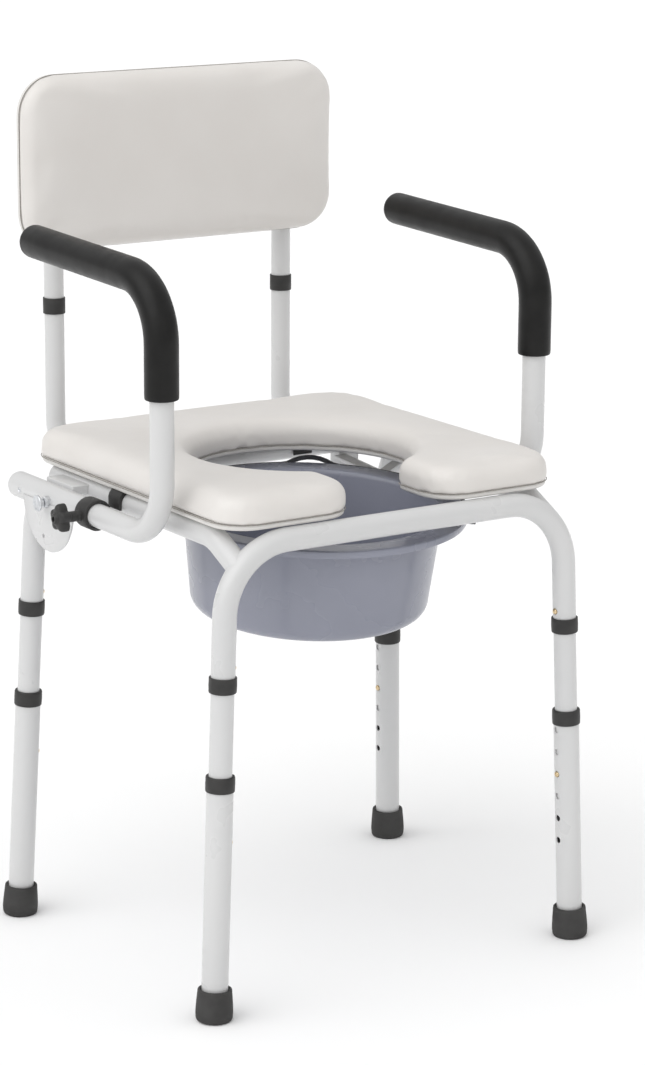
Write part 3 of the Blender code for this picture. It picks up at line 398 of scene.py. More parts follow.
def lathe_mesh(name, profile, steps=48, closed=False, sharp=35.0):
    """Spin (radius, height) points about Z.  A point at radius 0 becomes a pole."""
    shape = bmesh.new()
    rings = []
    for radius, height in profile:
        centre = Vector((0, 0, height))
        if radius < 1e-7:
            rings.append([shape.verts.new(centre)])
        else:
            rings.append(circle(shape, centre, Vector((1, 0, 0)), Vector((0, 1, 0)), radius, steps))
    pairs = list(zip(rings, rings[1:]))
    if closed:
        pairs.append((rings[-1], rings[0]))
    for first, second in pairs:
        if len(first) == 1 or len(second) == 1:
            pole, ring = (first[0], second) if len(first) == 1 else (second[0], first)
            for index in range(steps):
                shape.faces.new((pole, ring[index], ring[(index + 1) % steps]))
        else:
            bridge(shape, first, second)
    return to_mesh(name, shape, sharp)


def rod(radius, low, high, steps=24):
    """A plain bar along Z, for cutting holes."""
    return lathe_mesh("rod", [(0, low), (radius, low), (radius, high), (0, high)], steps)


def arc(centre, radius, start, end, steps):
    points = []
    for step in range(steps + 1):
        angle = math.radians(start + (end - start) * step / steps)
        points.append((centre[0] + radius * math.cos(angle), centre[1] + radius * math.sin(angle)))
    return points


def ring_profile(bottom, top, inner, outer, edge=0.0006):
    """Closed outline of a ring with softened rims."""
    return [
        (inner, top - edge), (inner + edge * 0.5, top), (outer - edge, top), (outer - edge * 0.3, top - edge * 0.3),
        (outer, top - edge), (outer, bottom + edge), (outer - edge * 0.3, bottom + edge * 0.3),
        (outer - edge, bottom), (inner + edge * 0.5, bottom), (inner, bottom + edge),
    ]


def lofted(name, rings, sharp=35.0):
    """Skin closed rings of points and close both ends."""
    shape = bmesh.new()
    made = [[shape.verts.new(point) for point in ring] for ring in rings]
    for first, second in zip(made, made[1:]):
        bridge(shape, first, second)
    for ring in (made[0], made[-1]):
        for corners in tessellate_polygon([[vertex.co for vertex in ring]]):
            shape.faces.new([ring[index] for index in corners])
    return to_mesh(name, shape, sharp)


def temporary(mesh):
    obj = bpy.data.objects.new("temporary", mesh)
    bpy.context.scene.collection.objects.link(obj)
    return obj


def evaluated_mesh(obj):
    """The mesh of an object with its modifiers applied; the object is removed."""
    graph = bpy.context.evaluated_depsgraph_get()
    graph.update()
    mesh = bpy.data.meshes.new_from_object(obj.evaluated_get(graph))
    old = obj.data
    bpy.data.objects.remove(obj)
    bpy.data.meshes.remove(old)
    return mesh


def combine(mesh, others, operation):
    """Boolean of a mesh with other closed meshes, which are used up."""
    base = temporary(mesh)
    tools = [temporary(other) for other in others]
    for tool in tools:
        change = base.modifiers.new("change", "BOOLEAN")
        change.operation = operation
        change.solver = "EXACT"
        change.object = tool
    name = mesh.name
    result = evaluated_mesh(base)
    for tool in tools:
        data = tool.data
        bpy.data.objects.remove(tool)
        bpy.data.meshes.remove(data)
    result.name = name
    result.shade_smooth()
    result.set_sharp_from_angle(angle=math.radians(35))
    return result


def cross_drill(depth, radius, height, turned_to=Matrix()):
    """A cutter that runs out along local X at a height on the Z axis."""
    mesh = rod(radius, 0, depth)
    mesh.transform(turned_to @ shift(0, 0, height) @ spin(90, "Y"))
    return mesh


def box(low, high):
    shape = bmesh.new()
    bmesh.ops.create_cube(shape, size=1.0)
    low, high = Vector(low), Vector(high)
    bmesh.ops.scale(shape, vec=high - low, verts=shape.verts)
    bmesh.ops.translate(shape, vec=(low + high) / 2, verts=shape.verts)
    return shape


def soft_box(name, low, high, edge):
    """A block with rounded edges."""
    shape = box(low, high)
    bmesh.ops.bevel(shape, geom=shape.edges[:], offset=edge, segments=3, profile=0.5, affect="EDGES")
    return to_mesh(name, shape)


# ---------------------------------------------------------------- leg and tube lines
def leg_line(corner, height):
    side, top, floor = CORNERS[corner]
    share = height / RAIL_Z
    return at(side * (floor[0] + (top[0] - floor[0]) * share), floor[1] + (top[1] - floor[1]) * share, height)


def leg_matrix(corner):
    """Frame of a leg: Z up the leg from the floor, X towards the chair's middle."""
    side = CORNERS[corner][0]
    foot = leg_line(corner, 0.0)
    up = (leg_line(corner, RAIL_Z) - foot).normalized()
    across = up.cross(Vector((-side, 0, 0))).normalized()
    inward = across.cross(up).normalized()
    return Matrix.Translation(foot) @ Matrix((inward, across, up)).transposed().to_4x4()


# ---------------------------------------------------------------- seat frame
def frame_tube_end(path, corners):
    """Tube whose ends are drilled for the snap buttons of the named corners."""
    mesh = tube_mesh("frame_tube", path, TUBE_R)
    drills = [cross_drill(0.020, HOLE_R, FRAME_BUTTON_H, leg_matrix(corner)) for corner in corners]
    return combine(mesh, drills, "DIFFERENCE")


def build_frame():
    ends = [leg_line("front_left", FRAME_TUBE_END), leg_line("front_left", RAIL_Z),
            leg_line("front_right", RAIL_Z), leg_line("front_right", FRAME_TUBE_END)]
    front = frame_tube_end(fillet(ends, FRONT_BEND_R, 28), ("front_left", "front_right"))
    add_piece("front_hoop", front, "white_paint", "frame", ["front_frame"])

    for side_name, side in SIDES.items():
        x = side * SIDE_RAIL_X
        path = fillet([at(x, FRONT_TOP[1], RAIL_DIP_Z), at(x, RAIL_DIP_Y, RAIL_Z), at(x, SIDE_RAIL_BACK, RAIL_Z)],
                      RAIL_DIP_R)
        rail = tube_mesh("side_tube", path, TUBE_R)
        add_piece(side_name + "_side_tube", rail, "white_paint", "frame", [side_name + "_side_rail"])
        plug = lathe_mesh("plug", [(0, 0.0030), (0.006, 0.0028), (0.0098, 0.0020), (0.0112, 0.0008), (0.0114, 0.0),
                                   (0.0112, -0.004), (0, -0.004)])
        turned_to = place(x, SIDE_RAIL_BACK, RAIL_Z) @ spin(-90, "X")
        add_piece(side_name + "_rail_plug", plug, "dark_plastic", "frame", (), turned_to)
        low, high = sorted((side * 0.1925, side * 0.2260))
        bracket = soft_box("bracket", at(low, 0.137, 0.4982), at(high, 0.196, 0.5076), 0.0011)
        add_piece(side_name + "_sleeve_bracket", bracket, "white_paint", "frame")

        corner = "rear_" + side_name
        path = fillet([leg_line(corner, FRAME_TUBE_END), leg_line(corner, KNEE_Z),
                       at(side * ARM_X, HEAD_Y, SLEEVE_Z)], 0.060)
        add_piece(corner + "_upright", frame_tube_end(path, (corner,)), "white_paint", "frame",
                  [corner + "_leg_tube"])

    path = [at(-SIDE_RAIL_X + 0.002, REAR_TOP[1], RAIL_Z), at(SIDE_RAIL_X - 0.002, REAR_TOP[1], RAIL_Z)]
    add_piece("rear_tube", tube_mesh("rear_tube", path, TUBE_R), "white_paint", "frame", ["rear_crossbar"])
    for side_name, side in SIDES.items():
        weld = weld_bead(TUBE_R, at(side * SIDE_RAIL_X, REAR_TOP[1], RAIL_Z), Vector((-side, 0, 0)))
        add_piece(side_name + "_rear_weld", weld, "white_paint", "frame")


def weld_bead(radius, centre, along):
    """Rippled fillet weld where a tube that leads along meets a frame tube at a right angle."""
    side = along.cross(Vector((0, 0, 1))).normalized()
    up = side.cross(along)
    points, sizes = [], []
    for step in range(WELD_STEPS):
        angle = 2 * math.pi * step / WELD_STEPS
        across = side * math.cos(angle) + up * math.sin(angle)
        # the bead follows the saddle line of the two tubes
        depth = math.sqrt(max(TUBE_R ** 2 - (radius * math.sin(angle)) ** 2, 0.0))
        points.append(centre + across * (radius + 0.0002) + along * (depth + 0.0004))
        sizes.append(WELD_R * (1 + 0.05 * math.sin(18 * angle)))
    rows = []
    for index, point in enumerate(points):
        tangent = (points[(index + 1) % WELD_STEPS] - points[index - 1]).normalized()
        outward = (point - centre - along * (point - centre).dot(along)).normalized()
        rows.append((point, outward, tangent.cross(outward).normalized(), sizes[index]))
    return closed_bead("weld", rows, 8, 60)


# ---------------------------------------------------------------- legs
def middle_leg_mesh():
    step_z = FRAME_TUBE_END - 2 * GAP
    profile = [
        (SPIGOT_R, SPIGOT_TOP), (SPIGOT_R, step_z), (MIDDLE_R - 0.0005, step_z), (MIDDLE_R, step_z - 0.0006),
        (MIDDLE_R, MIDDLE_BOTTOM + 0.0006), (MIDDLE_R - 0.0005, MIDDLE_BOTTOM), (MIDDLE_BORE_R, MIDDLE_BOTTOM),
        (MIDDLE_BORE_R, SPIGOT_TOP),
    ]
    drills = [cross_drill(0.020, HOLE_R, height) for height in (HEIGHT_BUTTON_H, FRAME_BUTTON_H)]
    return combine(lathe_mesh("middle_leg", profile, 40, True), drills, "DIFFERENCE")


def lower_leg_mesh():
    profile = ring_profile(LOWER_BOTTOM, LOWER_TOP, LOWER_BORE_R, LOWER_R, 0.0005)
    drills = [cross_drill(0.020, HOLE_R, TOP_HOLE_H - index * HOLE_PITCH) for index in range(HOLE_COUNT)]
    return combine(lathe_mesh("lower_leg", profile, 40, True), drills, "DIFFERENCE")


def frame_collar_mesh():
    """Ring with a thin upper lip, a waist-free wall and a turned-in foot."""
    bottom, top, outer = FRAME_COLLAR
    lip, edge = FRAME_TUBE_END - 2 * GAP, 0.0007
    profile = [
        (TUBE_R + GAP, lip), (TUBE_R + GAP, top - edge * 0.5), (TUBE_R + GAP + edge * 0.5, top),
        (outer - edge, top), (outer - edge * 0.3, top - edge * 0.3), (outer, top - edge),
        (outer + 0.0002, (top + bottom) / 2), (outer, bottom + 2 * edge), (outer - edge * 0.6, bottom + edge * 0.6),
        (outer - 2 * edge, bottom), (MIDDLE_R + GAP, bottom), (MIDDLE_R + GAP, lip),
    ]
    return lathe_mesh("frame_collar", profile, 56, True, 50)


def leg_collar_mesh():
    bottom, top, outer = LEG_COLLAR
    lip, edge = LOWER_TOP + GAP, 0.0007
    profile = [
        (MIDDLE_R + GAP, lip), (MIDDLE_R + GAP, top - edge * 0.4), (MIDDLE_R + GAP + edge * 0.4, top),
        (outer - 2 * edge, top), (outer - edge * 0.6, top - edge * 0.5), (outer, top - 2 * edge),
        (outer + 0.0002, (top + bottom) / 2), (outer, bottom + edge), (outer - edge * 0.3, bottom + edge * 0.3),
        (outer - edge, bottom), (LOWER_R + GAP, bottom), (LOWER_R + GAP, lip),
    ]
    return lathe_mesh("leg_collar", profile, 56, True, 50)


def foot_mesh(corner):
    """Rubber ferrule: rolled lip, flared skirt with a tread ring, flat on the floor."""
    inner, seat = LOWER_R + GAP, LOWER_BOTTOM - GAP
    profile = [
        (0, seat), (inner, seat), (inner, 0.0318), (0.0147, 0.0333), (0.0156, 0.0340), (0.0170, 0.0340),
        (0.0178, 0.0334), (0.0181, 0.0322), (0.0183, 0.0295), (0.0186, 0.0260), (0.0190, 0.0215), (0.0194, 0.0160),
        (0.0197, 0.0105), (0.0197, 0.0072), (0.0195, 0.0058), (0.01935, 0.0052), (0.01945, 0.0044),
        (0.0192, 0.0024), (0.0184, 0.0008), (0.0174, 0.0), (0.0, -0.0008),
    ]
    mesh = lathe_mesh("foot", profile, 64, False, 60)
    mesh.transform(leg_matrix(corner))
    for vertex in mesh.vertices:
        vertex.co.z = max(vertex.co.z, 0.0)
    return mesh


def button_mesh(inner, outer):
    """Domed snap button, lying along X."""
    dome = [(BUTTON_R * math.cos(math.radians(a)), outer - 0.0019 + 0.0019 * math.sin(math.radians(a)))
            for a in range(90, -1, -15)]
    dome[0] = (0, outer)
    profile = dome + [(BUTTON_R, inner + 0.0004), (BUTTON_R - 0.0004, inner), (0, inner)]
    mesh = lathe_mesh("button", profile, 28)
    mesh.transform(spin(90, "Y"))
    return mesh


def build_legs():
    shapes = {"middle_leg": middle_leg_mesh(), "lower_leg": lower_leg_mesh(),
              "frame_collar": frame_collar_mesh(), "leg_collar": leg_collar_mesh()}
    rides = {"middle_leg": ("white_paint", "frame"), "lower_leg": ("white_paint", "leg"),
             "frame_collar": ("dark_plastic", "frame"), "leg_collar": ("dark_plastic", "leg")}
    for corner in CORNERS:
        matrix = leg_matrix(corner)
        for kind, mesh in shapes.items():
            material, body = rides[kind]
            body = "frame" if body == "frame" else corner + "_leg"
            add_piece(corner + "_fine_" + kind, mesh.copy(), material, body, [corner + "_" + kind], matrix)
        add_piece(corner + "_ferrule", foot_mesh(corner), "rubber", corner + "_leg", [corner + "_foot"])
        for kind, height, inner, outer in (("frame_button", FRAME_BUTTON_H, 0.0045, TUBE_R + 0.0022),
                                           ("height_button", HEIGHT_BUTTON_H, 0.0055, LOWER_R + 0.0022)):
            name = corner + "_" + kind
            button = add_piece(corner + "_fine_" + kind, button_mesh(inner, outer), "brass", name, [name],
                               matrix @ shift(0, 0, height))
            if kind == "height_button":
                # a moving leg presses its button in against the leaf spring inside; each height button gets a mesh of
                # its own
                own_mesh(button)
    for mesh in shapes.values():
        bpy.data.meshes.remove(mesh)


# ---------------------------------------------------------------- arms
def arm_matrix(side):
    """Frame of an arm's hinge: local Y runs back along the sleeve."""
    return place(side * ARM_X, 0, SLEEVE_Z)


def outward_matrix(side, y):
    """Frame whose Z points away from the chair, on the arm's hinge line."""
    return arm_matrix(side) @ shift(0, y, 0) @ spin(side * 90, "Y")


BACKWARD = spin(-90, "X")      # turns local Z onto +Y


def build_sleeve(side_name, side):
    edge = 0.0045
    profile = [(0, SLEEVE_BACK), (SLEEVE_R - edge, SLEEVE_BACK)]
    for angle in (15, 30, 45, 60, 75, 90):
        across, along = edge * math.sin(math.radians(angle)), edge * math.cos(math.radians(angle))
        profile.append((SLEEVE_R - edge + across, SLEEVE_BACK - edge + along))
    profile += [(SLEEVE_R, SLEEVE_FRONT + 0.0006), (SLEEVE_R - 0.0006, SLEEVE_FRONT), (TUBE_R + GAP, SLEEVE_FRONT),
                (TUBE_R + GAP, ARM_BORE_BACK), (0, ARM_BORE_BACK)]
    sleeve = lathe_mesh("sleeve", profile, 48, False)
    sleeve.transform(BACKWARD)
    drill = cross_drill(0.030, PIN_R + GAP, 0.0, shift(0, PIN_Y, 0) @ Matrix.Scale(side, 4, (1, 0, 0)))
    sleeve = combine(sleeve, [drill], "DIFFERENCE")
    add_piece(side_name + "_sleeve_tube", sleeve, "white_paint", "frame", [side_name + "_arm_sleeve"],
              arm_matrix(side))

    # half-round gusset with a rolled edge and a hole
    outer_x, inner_x, edge = GUSSET_OUTER, GUSSET_INNER, 0.0006
    rings = []
    for x, inset in ((inner_x, edge), (inner_x + edge * 0.5, 0.0), (outer_x - edge * 0.5, 0.0), (outer_x, edge)):
        outline = [(PIN_Y - GUSSET_R + inset, -0.002), (PIN_Y + GUSSET_R - inset, -0.002)]
        outline += arc((PIN_Y, 0.0), GUSSET_R - inset, -2, -178, 56)
        rings.append([Vector((x, y, z)) for y, z in outline])
    hole = cross_drill(0.030, 0.0026, 0.0, shift(0, PIN_Y + 0.010, -0.040))
    gusset = combine(lofted("gusset", rings), [hole], "DIFFERENCE")
    gusset.transform(Matrix.Scale(side, 4, (1, 0, 0)))
    if side < 0:
        gusset.flip_normals()
    add_piece(side_name + "_gusset", gusset, "white_paint", "frame", (), arm_matrix(side))

    # hexagon nut that guides the lock pin
    outward = outward_matrix(side, PIN_Y)
    rings = []
    for z, size in ((SLEEVE_R - 0.0010, 0.0064), (SLEEVE_R + 0.0042, 0.0064), (SLEEVE_R + 0.0050, 0.0057)):
        rings.append([Vector((*point, z)) for point in arc((0, 0), size, 10, 310, 5)])
    nut = combine(lofted("nut", rings), [rod(PIN_R + GAP, 0, 0.03)], "DIFFERENCE")
    add_piece(side_name + "_pin_nut", nut, "zinc", "frame", (), outward)
    washer = lathe_mesh("washer", ring_profile(SLEEVE_R + 0.0050, PIN_BUSH_END, PIN_R + GAP, 0.0056, 0.0003), 32, True)
    add_piece(side_name + "_pin_washer", washer, "zinc", "frame", (), outward)

    # a flush screw behind the bore holds the sleeve to its bracket
    head = lathe_mesh("screw", [(0, 0.0006), (0.0008, 0.0001), (0.0016, 0.0011), (0.0026, 0.0008), (0.0031, 0.0),
                                (0.0031, -0.002), (0, -0.002)], 24)
    add_piece(side_name + "_sleeve_screw_0", head, "zinc", "frame", (),
              outward_matrix(side, 0.2150) @ shift(0, 0, SLEEVE_R))


def arm_paths():
    """Centre lines of the arm tube and of its grip, in the hinge's frame."""
    top_z = GRIP_FRONT_Z - SLEEVE_Z
    rise = (GRIP_BACK_Z - GRIP_FRONT_Z) / (GRIP_TIP_Y - ARM_POST_Y)
    lower = fillet([(0, ARM_TUBE_BACK, 0), (0, ARM_POST_Y, 0), (0, ARM_POST_Y, 0.14)], ARM_LOWER_BEND_R)

    def upper(end_y):
        return fillet([(0, ARM_POST_Y, 0.14), (0, ARM_POST_Y, top_z), (0, end_y, top_z + rise * (end_y - ARM_POST_Y))],
                      ARM_UPPER_BEND_R)
    return lower, upper


def build_arm(side_name, side):
    lower, upper = arm_paths()
    path = lower[:-1] + upper(GRIP_TIP_Y - 0.014)[1:]
    tube = tube_mesh("arm_tube", path, TUBE_R, 0.0008)
    reach = TUBE_R + 0.002
    slot = box((-reach, PIN_Y - 0.0045, -0.0042), (reach, PIN_Y + 0.0045, reach))
    tube = combine(tube, [to_mesh("slot", slot)], "DIFFERENCE")
    add_piece(side_name + "_arm_bar", tube, "white_paint", side_name + "_arm", [side_name + "_arm_tube"],
              arm_matrix(side))

    # foam sleeve: a thin wall over the tube with a cut lower end and a closed round tip
    top = upper(GRIP_TIP_Y)
    start = Vector((0, ARM_POST_Y, GRIP_LOWER_END - SLEEVE_Z))
    backward = (top[-1] - top[-2]).normalized()
    tip = top[-1]
    straight = [start + (top[1] - start) * share for share in (0.25, 0.5, 0.75)]
    points = [start, start + Vector((0, 0, 0.0006)), start + Vector((0, 0, 0.0018)), start + Vector((0, 0, 0.006))]
    radii = [GRIP_R - 0.0018, GRIP_R - 0.0007, GRIP_R - 0.0002, GRIP_R]
    points += straight + top[1:-1]
    radii += [GRIP_R] * (len(straight) + len(top) - 2)
    for number in range(1, 6):
        points.append(top[-2] + (tip - backward * 0.012 - top[-2]) * number / 6)
        radii.append(GRIP_R)
    round_r = 0.0085
    for angle in (0, 18, 36, 54, 72, 86):
        angle = math.radians(angle)
        points.append(tip - backward * round_r * (1 - math.sin(angle)))
        radii.append(GRIP_R - round_r * (1 - math.cos(angle)))
    shape = bmesh.new()
    sweep(shape, points, radii, 40)
    grip = to_mesh("grip", shape, 60)
    shape = bmesh.new()
    bore = [start - Vector((0, 0, 0.01))] + straight + top[1:-1] + [tip - backward * (0.014 - 2 * GAP)]
    sweep(shape, bore, [TUBE_R + 2 * GAP] * len(bore), 32)
    grip = combine(grip, [to_mesh("grip_bore", shape)], "DIFFERENCE")
    obj = add_piece(side_name + "_foam_sleeve", grip, "foam_grip", side_name + "_arm", [side_name + "_arm_grip"],
                    arm_matrix(side))


def star(radius, lobes, angle):
    """Radius of a knob with rounded lobes and shallow valleys."""
    wave = 0.5 + 0.5 * math.cos(lobes * angle)
    return radius * (0.70 + 0.30 * wave ** 0.75)


def build_clamp(side_name, side):
    collar = lathe_mesh("collar", ring_profile(COLLAR_FRONT, SLEEVE_FRONT - GAP, TUBE_R + GAP, COLLAR_R, 0.0010), 56,
                        True, 50)
    collar.transform(BACKWARD)
    outward = shift(0, KNOB_Y, 0) @ spin(side * 90, "Y")
    boss = lathe_mesh("boss", [(0, 0.0140), (0.0064, 0.0140), (0.0062, 0.0182), (0.0060, 0.0206), (0.0055, 0.0212),
                               (0, 0.0212)], 32)
    boss.transform(outward)
    collar = combine(collar, [boss], "UNION")
    drill = cross_drill(0.040, 0.0033, 0.0, shift(0, KNOB_Y, 0) @ Matrix.Scale(side, 4, (1, 0, 0)))
    collar = combine(collar, [drill], "DIFFERENCE")
    add_piece(side_name + "_collar_clamp", collar, "dark_plastic", "frame", [side_name + "_arm_collar"],
              arm_matrix(side))

    face, back = KNOB_FACE, KNOB_FACE - KNOB_DEPTH
    rings = []
    levels = ((0.0008, 0.80), (0.0004, 0.90), (0.0012, 0.975), (0.0030, 1.0), (0.0072, 0.99), (0.0092, 0.965),
              (0.0105, 0.91), (0.0114, 0.82), (0.0120, 0.70), (0.0123, 0.60))
    for depth, share in levels:
        ring = []
        for step in range(100):
            angle = 2 * math.pi * step / 100
            size = star(KNOB_R, KNOB_LOBES, angle) * share
            ring.append(Vector((size * math.cos(angle), size * math.sin(angle), back + depth)))
        rings.append(ring)
    hub = lathe_mesh("hub", [(0, face), (0.0046, face), (0.0054, face - 0.0006), (0.0062, face - 0.0020),
                             (0.0088, back + 0.0112), (0.0088, back + 0.004), (0.0072, back - 0.0006),
                             (0.0060, back - 0.0014), (0.0058, back - 0.0040), (0.0058, 0.0215), (0.0030, 0.0215),
                             (0.0030, TUBE_R + 2 * GAP), (0, TUBE_R + 2 * GAP)], 36)
    knob = combine(lofted("knob", rings, 60), [hub], "UNION")
    socket = lathe_mesh("socket", [(0, face - 0.0065), (0.0026, face - 0.0065), (0.0030, face + 0.01),
                                   (0, face + 0.01)], 24)
    knob = combine(knob, [socket], "DIFFERENCE")
    add_piece(side_name + "_star_knob", knob, "dark_plastic", side_name + "_clamp_knob", [side_name + "_clamp_knob"],
              outward_matrix(side, KNOB_Y))

    head = PIN_HEAD
    pin = lathe_mesh("pin", [
        (0, head - 0.0004), (0.0066, head - 0.0004), (0.0074, head), (0.0084, head - 0.0001), (0.0089, head - 0.0006),
        (0.0090, head - 0.0012), (0.0089, head - 0.0020), (0.0084, head - 0.0027), (0.0046, head - 0.0034),
        (0.0041, head - 0.0040), (0.0040, PIN_BUSH_END + 2 * GAP), (PIN_R, PIN_BUSH_END + GAP), (PIN_R, 0.0092),
        (0.0024, 0.0081), (0, 0.0080)], 40)
    add_piece(side_name + "_pull_pin", pin, "zinc", side_name + "_lock_pin", [side_name + "_lock_pin"],
              outward_matrix(side, PIN_Y))


def build_arms():
    for side_name, side in SIDES.items():
        build_sleeve(side_name, side)
        build_arm(side_name, side)
        build_clamp(side_name, side)


# ---------------------------------------------------------------- outlines of the upholstery
def resample(outline, spacing, smoothing=0):
    """Points at even spacing on a closed outline, its sharp corners eased by smoothing."""
    count = len(outline)
    lengths = [(outline[(i + 1) % count] - outline[i]).length for i in range(count)]
    total = sum(lengths)
    number = round(total / spacing)
    points, index, done = [], 0, 0.0
    for step in range(number):
        target = total * step / number
        while done + lengths[index] < target:
            done += lengths[index]
            index += 1
        share = (target - done) / lengths[index]
        points.append(outline[index].lerp(outline[(index + 1) % count], share))
    for _ in range(smoothing):
        points = [(points[i - 1] + points[i] * 2 + points[(i + 1) % number]) / 4 for i in range(number)]
    return points


def offset(outline, inset):
    """Move a counter-clockwise outline towards its inside."""
    count = len(outline)
    moved = []
    for index in range(count):
        along = (outline[(index + 1) % count] - outline[index - 1]).normalized()
        moved.append(outline[index] + Vector((-along.y, along.x)) * inset)
    return moved


def seat_outline():
    """Horseshoe from above, counter-clockwise, open to the front through a slot."""
    corner, lobe, slot = SEAT_CORNER_R, SEAT_LOBE_R, SEAT_SLOT
    right, front, back = SEAT_HALF_WIDTH, SEAT_FRONT, SEAT_BACK
    slot_angle = math.degrees(math.asin(slot / SEAT_HOLE_R))
    half = arc((right - corner, back - corner), corner, 90, 0, 10)
    half += arc((right - corner, front + corner), corner, 0, -90, 10)
    half += arc((slot + lobe, front + lobe), lobe, -90, -180, 10)
    half += [(x * SEAT_HOLE_R, SEAT_HOLE_Y + y * SEAT_HOLE_R) for x, y in arc((0, 0), 1.0, -90 + slot_angle, 90, 30)]
    mirrored = [(-x, y) for x, y in reversed(half[1:-1])]
    points = [Vector(point) for point in half + mirrored]
    points.reverse()
    return resample(points, 0.004, 5)


def back_outline():
    half_w, half_h, r = BACK_WIDTH / 2 - BACK_CORNER_R, (BACK_TOP - BACK_BOTTOM) / 2 - BACK_CORNER_R, BACK_CORNER_R
    points = []
    for centre, start in (((half_w, half_h), 0), ((-half_w, half_h), 90), ((-half_w, -half_h), 180),
                          ((half_w, -half_h), 270)):
        points += arc(centre, r, start, start + 90, 12)
    return resample([Vector(point) for point in points], 0.004, 2)


def layered(name, outline, levels, matrix, sharp=35.0):
    """A slab built from insets of an outline at a row of heights."""
    rings = [[matrix @ Vector((p.x, p.y, height)) for p in offset(outline, inset)] for inset, height in levels]
    return lofted(name, rings, sharp)


# ---------------------------------------------------------------- upholstery
PAD_VOXEL = 0.0042
PAD_FRAMES = 20


def foam_block(name, outline, inset, height, round_r):
    """Even mesh of a foam block standing on local z = 0, its top edge rounded."""
    block = temporary(layered(name, outline, [(inset, 0.0), (inset, height)], Matrix()))
    remesh = block.modifiers.new("even_grid", "REMESH")
    remesh.mode = "VOXEL"
    remesh.voxel_size = PAD_VOXEL
    mesh = evaluated_mesh(block)
    mesh.name = name
    border = resample(offset(outline, inset), 0.001)
    tree = KDTree(len(border))
    for index, point in enumerate(border):
        tree.insert((point.x, point.y, 0.0), index)
    tree.balance()
    for vertex in mesh.vertices:
        depth = min(tree.find((vertex.co.x, vertex.co.y, 0.0))[2], round_r)
        drop = round_r - math.sqrt(round_r ** 2 - (round_r - depth) ** 2)
        vertex.co.z *= 1 - drop / height
    return mesh


def inflate(mesh, cap, pressure):
    """Swell a foam block as a cloth bag that rests on local z = 0; cap is the most it may swell."""
    start = [vertex.co.copy() for vertex in mesh.vertices]
    bag = temporary(mesh)
    group = bag.vertex_groups.new(name="resting")
    group.add([index for index, point in enumerate(start) if point.z < 0.0020], 1.0, "REPLACE")
    cloth = bag.modifiers.new("foam", "CLOTH")
    settings = cloth.settings
    settings.quality = 5
    settings.mass = 0.3
    settings.tension_stiffness = 18.0
    settings.compression_stiffness = 18.0
    settings.bending_stiffness = 1.5
    settings.use_pressure = True
    settings.uniform_pressure_force = pressure
    settings.vertex_group_mass = group.name
    settings.effector_weights.gravity = 0.0
    cloth.collision_settings.use_self_collision = False
    scene = bpy.context.scene
    for number in range(1, PAD_FRAMES + 1):
        scene.frame_set(number)
    graph = bpy.context.evaluated_depsgraph_get()
    swollen = [vertex.co.copy() for vertex in bag.evaluated_get(graph).data.vertices]
    bag.modifiers.remove(cloth)
    scene.frame_set(1)
    for vertex, before, after in zip(bag.data.vertices, start, swollen):
        move = after - before
        if move.length > 1e-6:
            # the foam resists more and more as the cover stretches
            move *= cap * (1 - math.exp(-move.length / cap)) / move.length
        vertex.co = before + move
    return finish_pad(evaluated_mesh(bag))


def finish_pad(mesh):
    """Even out the grid, then one subdivision."""
    pad = temporary(mesh)
    relax = pad.modifiers.new("relax", "SMOOTH")
    relax.factor = 0.5
    relax.iterations = 5
    finer = pad.modifiers.new("finer", "SUBSURF")
    finer.levels = 1
    name = mesh.name
    mesh = evaluated_mesh(pad)
    mesh.name = name
    mesh.shade_smooth()
    return mesh


def cord_round(name, outline, inset, height, radius, matrix):
    """A thin closed cord that follows an outline."""
    points = [matrix @ Vector((p.x, p.y, height)) for p in offset(outline, inset)]
    normal = (matrix.to_3x3() @ Vector((0, 0, 1))).normalized()
    rows = []
    for index, point in enumerate(points):
        along = (points[(index + 1) % len(points)] - points[index - 1]).normalized()
        rows.append((point, along.cross(normal).normalized(), normal, radius))
    return closed_bead(name, rows, 10, 80)


def build_seat():
    outline = seat_outline()
    middle = place(0, 0, 0)
    low, top = SEAT_BOARD_TOP + GAP, SEAT_PAD_TOP
    cushion = inflate(foam_block("seat_cushion", outline, 0.0008, top - low - 0.0030, 0.0125), 0.0040, 4.0)
    for vertex in cushion.vertices:
        vertex.co.z = min(max(vertex.co.z, 0.0), top - low + 0.0015)
    pad = add_piece("seat_cushion", cushion, "vinyl", "seat", ["seat_pad"], middle @ shift(0, 0, low))
    add_piece("seat_seam", cord_round("seat_seam", outline, 0.0014, low + 0.0001, 0.0005, middle), "seam_thread",
              "seat", (), None)

    # wrapped board: a soft band under the cushion
    bottom, top = SEAT_BOARD_BOTTOM, SEAT_BOARD_TOP
    levels = [(0.0068, bottom), (0.0045, bottom + 0.0004), (0.0031, bottom + 0.0015), (0.0026, bottom + 0.0030),
              (0.0026, top - 0.0012), (0.0032, top - 0.0004), (0.0042, top)]
    add_piece("seat_band", layered("seat_band", outline, levels, middle, 50), "board", "seat", ["seat_board"])

    for side_name, side in SIDES.items():
        clip = clip_mesh()
        add_piece(side_name + "_seat_clip", clip, "dark_plastic", "seat", (),
                  place(side * SIDE_RAIL_X, SIDE_CLIP_Y, RAIL_Z))
        clip = clip_mesh()
        add_piece(side_name + "_rear_seat_clip", clip, "dark_plastic", "seat", (),
                  place(side * REAR_CLIP_X, REAR_TOP[1], RAIL_Z) @ spin(90, "Z"))


